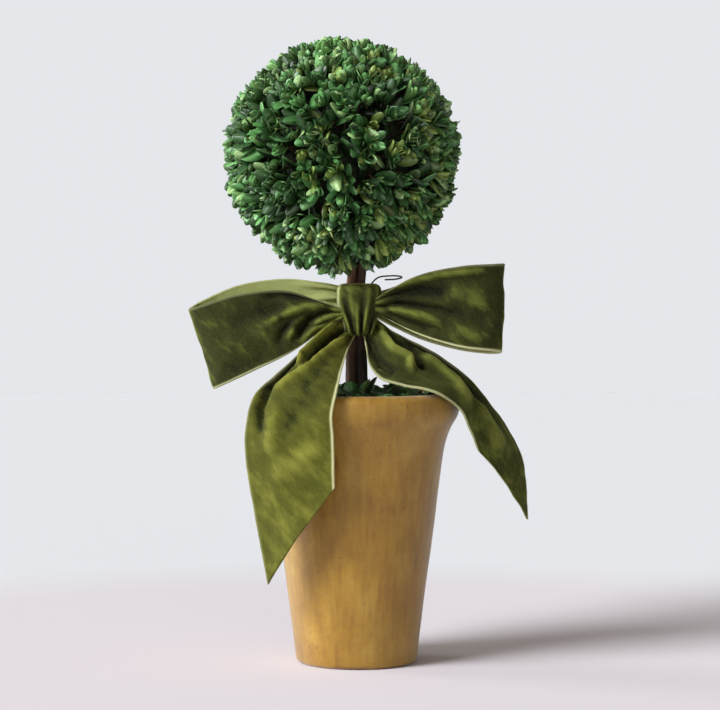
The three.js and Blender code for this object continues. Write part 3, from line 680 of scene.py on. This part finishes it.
def make_twigs(k, axis, lean):
    """Thirty boughs that fan out from the stems' tops inside the crown, each on a quadratic curve, and a
    twig for each sprig, bent by a half sine: tubes whose radius falls evenly to the tip."""
    count = 30
    ends = CROWN_CENTRE + BOUGH_REACH * spread(np.arange(count), count, 0.1)
    tops = np.array([[*stem["top"], STEM_TOP + 2] for stem in STEMS.values()])
    start = tops[np.arange(count) % len(tops)][:, None]
    bend = mix(start, ends[:, None], 0.45) + np.array([0, 0, 6.0])
    t = np.linspace(0, 1, 9)[None, :, None]
    path = start * (1 - t) ** 2 + 2 * bend * t * (1 - t) + ends[:, None] * t**2
    points, faces = tubes(path, mix(1.3, 0.7, t[..., 0]) + np.zeros((count, 1)), 7)
    put_mesh("crown_boughs", points, faces, BARK, ("leaf_ball",))
    t = np.linspace(0, 1, 5)[None, :, None]
    path = CROWN_CENTRE + axis[:, None] * TWIG_ROOT + lean[:, None] * mix(0.0, TWIG_LENGTH, t)
    aside = unit(np.cross(axis, lean + 0.1))[:, None]
    path = path + (0.9 * jitter(k, 60))[:, None, None] * np.sin(math.pi * t) * aside
    points, faces = tubes(path, mix(0.75, 0.4, t[..., 0]) + np.zeros((len(k), 1)), 5)
    put_mesh("crown_twigs", points, faces, BARK, ("leaf_ball",))


def make_core():
    """The dark ball inside the crown: a sphere with lumps of three sizes."""
    polar = np.linspace(0.02, math.pi - 0.02, 80)[:, None]
    ball = round_z(np.sin(polar), np.cos(polar), around(120))
    grid = CROWN_CENTRE + ball * (CORE_RADIUS + 0.9 * lumps(ball * 36, size=9, seed=8))[..., None]
    points, faces = shut_rings(grid, grid[0].mean(axis=0), grid[-1].mean(axis=0), turn=True)
    put_mesh("crown_core", points, faces, MOSS, ("leaf_ball",))


def make_foot_leaves():
    """Loose leaves on the moss by the part's rule, carried on to five times as many smaller ones. They
    run round in a golden spiral, and stand steeper and longer near the stems."""
    count = 230
    k = np.arange(count)
    angle = k * GOLDEN_ANGLE
    radius = mix(MOSS_INNER + 0.5, MOSS_OUTER - 3, np.sqrt((k + 0.5) / count))
    base = round_z(radius, MOSS_TOP - 1.2, angle)
    up = np.tile([0.0, 0.0, 1.0], (count, 1))
    inner = radius < 15
    way, face = turned_from(up, k * 2.1, np.where(inner, 0.45, 1.0) + 0.35 * jitter(k, 5))
    length = np.where(inner, 10.4, 8.4) + 1.8 * jitter(k, 6)
    reach = np.hypot(*(base + way * length[:, None])[:, :2].T)
    keep = (reach < MOSS_OUTER - 0.3) & (reach > 6.4)
    base, way, face, length, k = (v[keep] for v in (base, way, face, length, k))
    cup, droop = 0.25 + 0.15 * jitter(k, 7), 0.1 + 0.15 * jitter(k, 8)
    batch = leaf_batch(base, way, face, length, 0.6 * length, cup, droop)
    deal = jitter(k, 9)
    # painted shade: every leaf at the foot is darkened a quarter of the way to near black
    shade = np.full(len(k), 0.25)
    for tint, mine in ((DEEP, deal <= 0.1), (MID, (deal > 0.1) & (deal < 0.6)), (FRESH, deal >= 0.6)):
        material = LEAF_TINTS[tint]
        put_leaves(f"{material.name}_at_foot", batch, mine, shade, material, ("foot_leaves",))


# The ribbon bow. Places with two numbers are (x, z) seen from the front. Gathers are the number of pleats
# across the ribbon and their phase, a fold is its line, its width and its height out of the cloth, and
# selvedge is how pale each edge is


def fold(x, z, line, width, height):
    """A fold along a line of (x, z) points seen from the front: height times a bell curve of the
    distance to the line over width, that fades in over the line's first quarter and out over its
    last."""
    fade = 0.25
    line = np.asarray(line, float)
    steps = np.linalg.norm(np.diff(line, axis=0), axis=1)
    walked = np.concatenate([[0], np.cumsum(steps)])
    best = np.full(x.shape, 1e9)
    at = np.zeros(x.shape)
    for i, step in enumerate(np.diff(line, axis=0)):
        t = np.clip(((x - line[i, 0]) * step[0] + (z - line[i, 1]) * step[1]) / (step @ step), 0, 1)
        far = np.hypot(x - line[i, 0] - t * step[0], z - line[i, 1] - t * step[1])
        at = np.where(far < best, (walked[i] + t * steps[i]) / walked[-1], at)
        best = np.minimum(best, far)
    return height * np.exp(-((best / width) ** 2)) * smooth_step(0, fade, at) * smooth_step(1, 1 - fade, at)


def across_stops(count):
    """Places across a ribbon from 0 to 1, closer together in the last millimetre at each edge."""
    rim = np.array([0.0, 0.1, 0.3, 0.6, 0.95, 1.4]) / RIBBON_WIDTH
    return np.concatenate([rim, np.linspace(rim[-1], 1 - rim[-1], count)[1:-1], 1 - rim[::-1]])


def pleats(v, count, start):
    """Gathers across a ribbon, from -1 in a hollow to 1 on a ridge: a cosine of count waves whose
    spacing wanders by a slow sine, raised so that its hollows are the narrower."""
    wave = np.cos(2 * math.pi * (count * v + start + 0.12 * np.sin(2 * math.pi * v + 3 * start)))
    return 1 - 2 * ((1 - wave) / 2) ** 1.8


def put_ribbon(name, grid, v, relief, selvedge, material, node):
    """Closes a grid of points into a ribbon. Each row becomes a flat ring: the pile is half the
    thickness along the normal, the woven back half the other way, and both meet in a rounded bead
    along the selvedge. The first and last rings are shut across the thickness. The pile is painted
    lighter where the relief stands up and darker where it sinks, as light and shade, and selvedge
    is how pale each edge is."""
    rows, columns, _ = grid.shape
    gap = np.minimum(v, 1 - v) * RIBBON_WIDTH
    bead = RIBBON_THICKNESS + 0.35 * np.exp(-(((gap - 0.5) / 0.3) ** 2))
    half = bead / 2 * np.sqrt(1 - (1 - np.clip(gap / 0.45, 0, 1)) ** 2)
    offset = normals_of(grid) * half[None, :, None]
    ring = np.concatenate([grid + offset, (grid - offset)[:, -2:0:-1]], axis=1)
    size = ring.shape[1]
    j = np.arange(1, columns - 2)
    middle = np.stack([j, j + 1, size - j - 1, size - j], axis=-1)
    corners = np.array([[0, 1, size - 1], [columns - 2, columns - 1, columns]])
    last = (rows - 1) * size
    faces = [
        quads(rows, size)[:, ::-1],
        np.concatenate([middle, middle[:, ::-1] + last]),
        np.concatenate([corners, corners[:, ::-1] + last]),
    ]
    back = np.concatenate([np.zeros(columns), np.ones(size - columns)])
    edge = smooth_step(1.15, 0.7, gap) * np.where(v < 0.5, *selvedge)
    edge = np.concatenate([edge, edge[-2:0:-1]])
    # painted light and shade: the relief's height lightens or darkens the pile; the back gets none
    painted_shading = np.clip(relief / 1.8, -1, 1)
    painted_shading = np.concatenate([painted_shading, 0 * painted_shading[:, -2:0:-1]], axis=1)
    fields = {"edge": np.tile(edge, rows), "back": np.tile(back, rows), "painted_shading": painted_shading.ravel()}
    put_mesh(name, ring.reshape(-1, 3), faces, material, (node,), fields)


LOOP_LEFT = dict(
    front=dict(y=-13.5, top=[(-5.6, 144.0), (-14.7, 147.3), (-29.2, 151.4), (-47.2, 149.8), (-61.7, 145.6)],
               bottom=[(-5.6, 140.6), (-13.5, 136.2), (-25.5, 127.0), (-40.4, 119.5), (-52.4, 113.8)]),
    back=dict(y=-7.0, top=[(-5.6, 152.6), (-14.7, 154.5), (-29.2, 156.0), (-47.2, 153.6), (-61.7, 147.6)],
              bottom=[(-5.6, 143.0), (-13.5, 139.5), (-25.5, 129.5), (-40.4, 120.8), (-52.4, 114.4)]),
    outer=dict(y=-9.5, top=(-67.3, 144.0), bottom=(-57.0, 111.8)),
    gathers=(3.2, 0.1),
    folds=[
        ([(-9, 147.4), (-14, 148.4), (-21.2, 149.2), (-30, 149.8), (-40, 148.6)], 2.0, -2.2),
        ([(-8, 145.4), (-14, 146.0), (-21.2, 144.8), (-31, 141.0), (-40, 136.0)], 1.5, 1.7),
        ([(-8, 143.8), (-14.5, 142.8), (-18.5, 139.8), (-22.1, 135.4), (-24.0, 131.0)], 1.6, -3.2),
        ([(-8, 142.0), (-15, 138.8), (-19, 134.6), (-21.6, 131.4)], 1.1, 1.7),
        ([(-12, 144.6), (-19.5, 142.0), (-25.0, 138.0), (-27.0, 132.6), (-26.4, 128.6)], 1.3, 1.8),
        ([(-15, 143.6), (-23.0, 139.6), (-29.6, 135.0), (-31.0, 128.0)], 1.6, -1.6),
        ([(-26, 146.0), (-38, 143.0), (-52, 137.5)], 4.2, -1.2),
        ([(-31, 134.0), (-42, 131.0), (-54, 129.5)], 3.6, 0.8),
        ([(-34, 124.5), (-44, 121.5), (-55, 118.5)], 3.0, -0.8),
    ],
    selvedge=(0.15, 0.5),
    material=LOOP_VELVET,
)
LOOP_RIGHT = dict(
    front=dict(y=-13.5, top=[(7.6, 148.0), (15.6, 152.9), (27.6, 158.2), (42.4, 161.2), (54.4, 162.0)],
               bottom=[(7.6, 142.8), (15.3, 138.2), (27.2, 132.8), (41.8, 128.6), (53.7, 127.1)]),
    back=dict(y=-7.0, top=[(7.6, 150.4), (15.6, 152.9), (27.6, 157.6), (42.4, 160.8), (54.4, 161.6)],
              bottom=[(7.6, 140.4), (15.3, 136.2), (27.2, 131.0), (41.8, 127.0), (53.7, 125.6)]),
    outer=dict(y=-10.5, top=(59.0, 162.2), bottom=(58.6, 126.2)),
    gathers=(2.6, 0.35),
    folds=[
        ([(10, 148.6), (18, 150.0), (28, 151.4), (40, 151.0)], 2.6, -2.2),
        ([(10, 146.6), (17, 146.0), (24, 145.2), (34, 143.8), (42, 141)], 1.6, -2.4),
        ([(10, 145.2), (18.2, 143.6), (27.0, 141.3), (36.0, 137.2)], 1.5, 3.0),
        ([(10, 143.8), (16.0, 141.2), (24.0, 138.2), (32.0, 135.2)], 1.5, -2.8),
        ([(11, 150.6), (20, 154.4), (32, 157.6), (44, 159.0), (56, 159.6)], 1.5, 1.9),
        ([(34, 152.5), (44, 147.5), (55, 145.5)], 3.6, 0.9),
        ([(36, 144.5), (45, 140.5), (55, 138.5)], 2.8, -0.9),
        ([(36, 136.0), (46, 133.0), (56, 132.5)], 2.8, 0.9),
    ],
    selvedge=(0.25, 0.9),
    material=LOOP_VELVET,
)


def make_loop(name, loop, node):
    """A loop's cloth between its top and bottom edges, which run from the front root round the outer
    fold to the back root. Its depth is a teardrop: a cosine run from root to fold, less 9.5 times
    sin(2 pi u) times sin(pi u). Folds stand out of its front along the normal, pleats gather both its
    layers at the knot, and slow lumps run over all of it."""
    u = np.linspace(0, 1, 241)
    v = across_stops(72)
    front, back, outer = loop["front"], loop["back"], loop["outer"]
    rims, selvedge = ("top", "bottom"), loop["selvedge"]
    if outer["top"][0] > 0:
        rims, selvedge = rims[::-1], selvedge[::-1]
    first, second = (through([*front[e], outer[e], *back[e][::-1]], u)[:, None] for e in rims)
    out = (1 - np.cos(2 * math.pi * u)) / 2
    root = np.where(u < 0.5, front["y"], back["y"])
    depth = mix(root, outer["y"], out) - 9.5 * np.sin(2 * math.pi * u) * np.sin(math.pi * u)
    seen = mix(first, second, v[None, :, None])
    x, z = seen[..., 0], seen[..., 1]
    flat = np.stack([x, depth[:, None] + 0 * v, z], axis=-1)
    on_front = smooth_step(0.5, 0.4, u)[:, None]
    relief = sum(fold(x, z, *line) for line in loop["folds"]) * on_front
    gathered = smooth_step(33, 5, np.abs(x)) ** 1.5
    relief = relief + mix(1.2, 1.8, on_front) * gathered * pleats(v, *loop["gathers"])
    waves = 0.4 * lumps(flat, size=20, seed=12) * np.sin(math.pi * u)[:, None]
    grid = flat + normals_of(flat) * (relief + waves)[..., None]
    # painted highlight: an extra pale band along the turn of the outer fold
    painted_fold_highlight = 2.2 * np.exp(-(((u - 0.495) / 0.02) ** 2))[:, None]
    put_ribbon(name, grid, v, relief + painted_fold_highlight, selvedge, loop["material"], node)


TAIL_LEFT = dict(
    a=[(-4.5, -8.5, 140.5), (-12.5, -14, 136.4), (-21.5, -20, 127.6), (-31.5, -25.5, 118.2),
       (-40.5, -29.5, 109.5), (-43.8, -31, 97), (-43.6, -30.5, 84), (-41.2, -29.5, 68), (-35.1, -30, 35)],
    b=[(-0.5, -9, 134.5), (-2.4, -15, 130.3), (-3.8, -25, 126.4), (-5.8, -36, 119.6),
       (-7.6, -44.4, 112), (-9.2, -46.8, 103), (-8.8, -46.2, 94), (-8.4, -45.5, 84.5), (-8.2, -45, 75)],
    bulge=3.4,
    gathers=(2.5, 0.3),
    folds=[
        ([(-6, 141), (-9.3, 138.6), (-12.6, 134), (-17.2, 128.6), (-21, 124.2), (-21.6, 120), (-19.6, 116.6)],
         1.2, 4.0),
        ([(-1.5, 132), (-8, 128), (-14, 122), (-19, 117.6), (-26, 113.6), (-34, 110)], 1.4, 2.6),
        ([(-3.5, 136), (-9.0, 132.6), (-13.8, 127.2), (-17.6, 122.4), (-17.6, 118.6)], 1.25, -4.0),
        ([(-6, 129), (-11.0, 123.0), (-17.0, 115.2), (-22.0, 109.0)], 2.4, -0.8),
        ([(-13, 135.6), (-20, 129.2), (-25.4, 123), (-33.4, 114.2), (-37.4, 105), (-36.8, 91)], 1.9, -4.4),
        ([(-31.0, 106.0), (-30.5, 98.0), (-33.0, 86.0)], 3.0, 1.2),
        ([(-12.0, 113.0), (-20.0, 106.0), (-31.0, 92.0)], 3.5, -1.0),
        ([(-12.0, 96.0), (-22.0, 84.0), (-34.0, 74.0)], 4.5, 0.9),
    ],
    selvedge=(0.25, 0.9),
    material=LIT_VELVET,
)
TAIL_RIGHT = dict(
    a=[(2.5, -9, 135.5), (3.6, -14.5, 129.2), (5.2, -21.5, 121.6), (10.3, -27, 116), (19.5, -30.5, 113.2),
       (31.5, -31.5, 111), (40.0, -26.5, 105), (44.5, -21, 97), (48.5, -17, 87.5)],
    b=[(5.5, -8.5, 141.5), (12.5, -10.5, 136.4), (20.5, -9.5, 131.9), (30, -5.5, 127), (40, -1, 120.4),
       (50.5, 3.5, 110), (61, 7, 96), (68.3, 7.5, 80), (70.2, 6, 57.3)],
    bulge=2.2,
    gathers=(2.0, 0.2),
    folds=[
        ([(4.6, 134), (6.6, 128.0), (10.0, 121.6), (16.0, 116.6)], 1.7, -3.4),
        ([(8.0, 138), (10.8, 133.0), (13.8, 127.0), (19.6, 122.6), (22.4, 115.4)], 1.35, 3.8),
        ([(10.5, 137), (16.6, 130.0), (24.0, 124.0), (26.6, 116.0)], 1.6, -3.4),
        ([(21.0, 128), (30.0, 121.0), (39.0, 113.0), (45.0, 103.0)], 2.0, 2.6),
        ([(16.0, 133), (27.0, 127.2), (38.0, 119.6), (50.0, 106.6), (60.0, 90.0)], 1.7, -2.8),
        ([(46.0, 108), (53.0, 97.0), (57.0, 84.0)], 2.4, 1.2),
    ],
    selvedge=(0.55, 0.3),
    material=TAIL_VELVET,
)


def make_tail(name, tail, node):
    """A tail's cloth between two edge curves, bulged outwards by the sine across its width. Pleats
    where it leaves the knot and its folds stand out along the normal, and die out at its edges."""
    u = np.linspace(0, 1, 230)
    v = across_stops(76)
    flat = mix(through(tail["a"], u)[:, None], through(tail["b"], u)[:, None], v[None, :, None])
    relief = sum(fold(flat[..., 0], flat[..., 2], *line) for line in tail["folds"])
    relief = relief + 1.3 * smooth_step(0.3, 0, u[:, None]) * pleats(v, *tail["gathers"])
    swell = tail["bulge"] * np.sin(math.pi * v)[None, :] * np.minimum(1, 3 * u)[:, None]
    waves = 0.45 * lumps(flat, size=22, seed=15) * np.minimum(1, 4 * u)[:, None]
    held = smooth_step(0, 3, np.minimum(v, 1 - v) * RIBBON_WIDTH)
    grid = flat + normals_of(flat) * (swell + waves + relief * held)[..., None]
    # painted shade near the knot and painted light lower down, on top of the folds' painted light and shade
    shaded = relief + 0.5 - 1.1 * smooth_step(0.9, 0.35, u[:, None])
    put_ribbon(name, grid, v, shaded, tail["selvedge"], tail["material"], node)


KNOT_CENTRE = (1.0, -9.9, 143.6)
KNOT_HALF_HEIGHT = 10.6
KNOT_HALF_DEPTH = 6.4


def make_knot():
    """The ribbon wound once round the bow: a squared-off oval whose half width shrinks downwards and
    whose ends roll in. Upright pleats on its front, two cosines of the way across, close up and deepen
    towards the bottom, and a rim stands out along each side."""
    t = np.linspace(0.003, 0.997, 110)[:, None]
    angle = around(240)
    height = 2 * t - 1
    roll = np.sqrt(1 - np.abs(height) ** 9)
    wide = mix(6.2, 9.1, smooth_step(0.05, 0.7, t)) * (0.6 + 0.4 * roll)
    cosine, sine = np.cos(angle), np.sin(angle)
    across = np.sign(cosine) * np.abs(cosine) ** 0.7
    front = np.clip(-sine, 0, 1) ** 0.8
    closing = across / mix(0.66, 1.1, t)
    pleat = np.cos(8.6 * closing + 1.9 + 0.8 * height) + 0.5 * np.cos(15 * closing - 0.6 * height)
    pleat = pleat * mix(1.25, 0.22, smooth_step(0.1, 0.95, t))
    rims = 0.8 * np.exp(-(((across + 0.88) / 0.08) ** 2)) + 0.6 * np.exp(-(((across - 0.86) / 0.1) ** 2))
    relief = (pleat + rims) * front * roll
    x = wide * across
    y = KNOT_HALF_DEPTH * roll * np.sign(sine) * np.abs(sine) ** 0.6 - relief
    z = KNOT_CENTRE[2] + KNOT_HALF_HEIGHT * height + 0.4 * relief * height
    grid = np.stack([KNOT_CENTRE[0] + x, KNOT_CENTRE[1] + y, z], axis=-1)
    points, faces = shut_rings(grid, grid[0].mean(axis=0), grid[-1].mean(axis=0))
    fading = smooth_step(0.05, 0.3, t) * smooth_step(1, 0.9, t)
    rim = 0.5 * np.exp(-(((across + 0.93) / 0.06) ** 2)) * (sine < 0) * fading
    # painted light and shade: pleat ridges lighter, hollows darker, and the whole knot lighter towards its
    # top
    painted_shading = np.clip(relief / 1.1, -1, 1) + 0.15 + 0.3 * smooth_step(0.6, 0.95, t)
    fields = {field: np.append(values, [0, 0]) for field, values in (("edge", rim), ("painted_shading", painted_shading))}
    fields["back"] = np.zeros(len(points))
    put_mesh("ribbon_knot", points, faces, LOOP_VELVET, ("bow_knot",), fields)


WIRE_ROUTE = [(-5.4, -2.6, 143), (-5.2, -0.6, 144), (-3.2, 3.7, 145.5), (-0.6, 5.3, 146.5), (2.1, 3.8, 147.5),
              (4.1, -0.2, 149.5), (5.0, -2.6, 152.5), (8.6, -4.2, 156.4), (14.0, -4.6, 157.2),
              (17.6, -3.6, 157.0), (18.2, -2.2, 156.4), (15.6, -1.4, 155.8), (11.4, -1.2, 155.6)]


def make_wire():
    """A thin round wire along its route, from behind the knot round the stems and up to a curl."""
    stations, radius = 140, 0.33
    path = through(WIRE_ROUTE, np.linspace(0, 1, stations))[None]
    points, faces = tubes(path, np.full((1, stations), radius), 10)
    put_mesh("tie_wire_round_stems", points, faces, WIRE, ("tie_wire",))


# The stage

FLOOR_RADIUS = 2200
WALL_CURVE = 400
WALL_TOP = 1100


def painted_board(name, near, far):
    """Matt paint on board: the tint near out to 240 mm from Z, the tint far from 340 mm on, and a blend
    of the two between."""
    material, t, shader = start_material(name, Roughness=0.95)
    at = add(t, "ShaderNodeTexCoord", out="Object")
    level = add(t, "ShaderNodeMapping", {"Vector": at, "Scale": (1, 1, 0)})
    reach = add(t, "ShaderNodeVectorMath", {0: level}, out="Value", operation="LENGTH")
    beyond = add(t, "ShaderNodeMapRange", {"Value": reach, "From Min": 240 * MM, "From Max": 340 * MM})
    colour = add(t, "ShaderNodeMix", {AMOUNT: beyond, UNDER: near, OVER: far}, out=MIXED, data_type="RGBA")
    t.links.new(colour, shader.inputs["Base Color"])
    return material


def lit_board(name, tint):
    """A wall lit evenly by lamps of its own: it glows in its tint, and takes no light from the part's."""
    material, _, shader = start_material(name, Specular_IOR_Level=0.0, Emission_Strength=1.0)
    shader.inputs["Base Color"].default_value = linear("#000000")
    shader.inputs["Emission Color"].default_value = linear(tint)
    return material


def make_stage():
    """A pale round floor, and round it a pale wall that curves up from it. Both are a profile carried
    round Z. The wall is only seen: it casts no shadow and lights nothing."""
    angle = around(96)
    level = np.array([[1, 0], [FLOOR_RADIUS, 0]])
    curve = arc((FLOOR_RADIUS, WALL_CURVE), WALL_CURVE, -math.pi / 2, 0, 25)
    upright = np.vstack([curve, [[FLOOR_RADIUS + WALL_CURVE, WALL_TOP]]])
    for name, profile, material in (
        ("studio_floor", level, painted_board("painted_tabletop", "#dad5da", "#dce0e3")),
        ("studio_wall", upright, lit_board("painted_wall", "#e5e7eb")),
    ):
        grid = round_z(profile[:, :1], profile[:, 1:], angle)
        mesh = bpy.data.meshes.new(name)
        faces = quads(len(profile), len(angle))[:, ::-1]
        mesh.from_pydata((grid.reshape(-1, 3) * MM).tolist(), [], faces.tolist())
        mesh.polygons.foreach_set("use_smooth", np.ones(len(faces), dtype=bool))
        mesh.materials.append(material)
        board = bpy.data.objects.new(name, mesh)
        bpy.context.scene.collection.objects.link(board)
        lights = name == "studio_floor"
        board.visible_shadow = board.visible_diffuse = board.visible_glossy = lights


def put_looking(thing, place_mm, aim_mm):
    """Puts a lamp or camera at a place, turned towards the point it is aimed at."""
    thing.location = Vector(place_mm) * MM
    thing.rotation_euler = (Vector(aim_mm) - Vector(place_mm)).to_track_quat("-Z", "Y").to_euler()
    bpy.context.scene.collection.objects.link(thing)


def make_light():
    """Soft daylight from the upper left, a bright pane low on the left, a faint warm fill in front, and
    air that dims from left to right. A lamp is its place, its width in degrees, strength and colour."""
    for name, place, width, strength, colour in (
        ("daylight_left", (-1150, -800, 990), 30, 4.6, "#f9faff"),
        ("pane_left", (-940, 340, 205), 24, 2.7, "#ffffff"),
        ("fill_front", (300, -1500, 250), 40, 0.75, "#fff6ee"),
    ):
        lamp = bpy.data.lights.new(name, "SUN")
        lamp.angle = math.radians(width)
        lamp.energy = strength
        lamp.color = linear(colour)[:3]
        put_looking(bpy.data.objects.new(name, lamp), place, (0, 0, 130))
    world = bpy.data.worlds.new("studio_air")
    world.use_nodes = True
    background = world.node_tree.nodes["Background"]
    background.inputs["Color"].default_value = linear("#fdf3ea")
    at = add(world.node_tree, "ShaderNodeTexCoord", out="Generated")
    side = add(world.node_tree, "ShaderNodeSeparateXYZ", {"Vector": at}, out="X")
    dimming = {"Value": side, "From Min": -1.0, "From Max": 1.0, "To Min": 0.39, "To Max": 0.15}
    glow = add(world.node_tree, "ShaderNodeMapRange", dimming)
    world.node_tree.links.new(glow, background.inputs["Strength"])
    bpy.context.scene.world = world
    bpy.context.scene.view_settings.view_transform = "Standard"


def make_camera():
    """A long lens a metre in front of the part, just above its knot and tipped down by 2 degrees."""
    lens = bpy.data.cameras.new("front_camera")
    lens.lens = 123
    lens.sensor_width = 36
    lens.dof.use_dof = False
    camera = bpy.data.objects.new("front_camera", lens)
    put_looking(camera, (1.4, -1000, 160), (1.4, 0, 125))
    bpy.context.scene.camera = camera


make_camera()
make_light()
make_stage()
make_pot()
make_moss()
make_foot_leaves()
for stem_name, stem_sizes in STEMS.items():
    make_stem(stem_name, stem_sizes, LIT_STEM_BARK if stem_name == "stem_left" else BARK)
make_core()
make_twigs(*make_crown())
make_loop("loop_left_ribbon", LOOP_LEFT, "bow_loop_left")
make_loop("loop_right_ribbon", LOOP_RIGHT, "bow_loop_right")
make_tail("tail_left_ribbon", TAIL_LEFT, "bow_tail_left")
make_tail("tail_right_ribbon", TAIL_RIGHT, "bow_tail_right")
make_knot()
make_wire()

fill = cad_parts["pot_fill"]
fill.data.materials.clear()
fill.data.materials.append(FOAM)
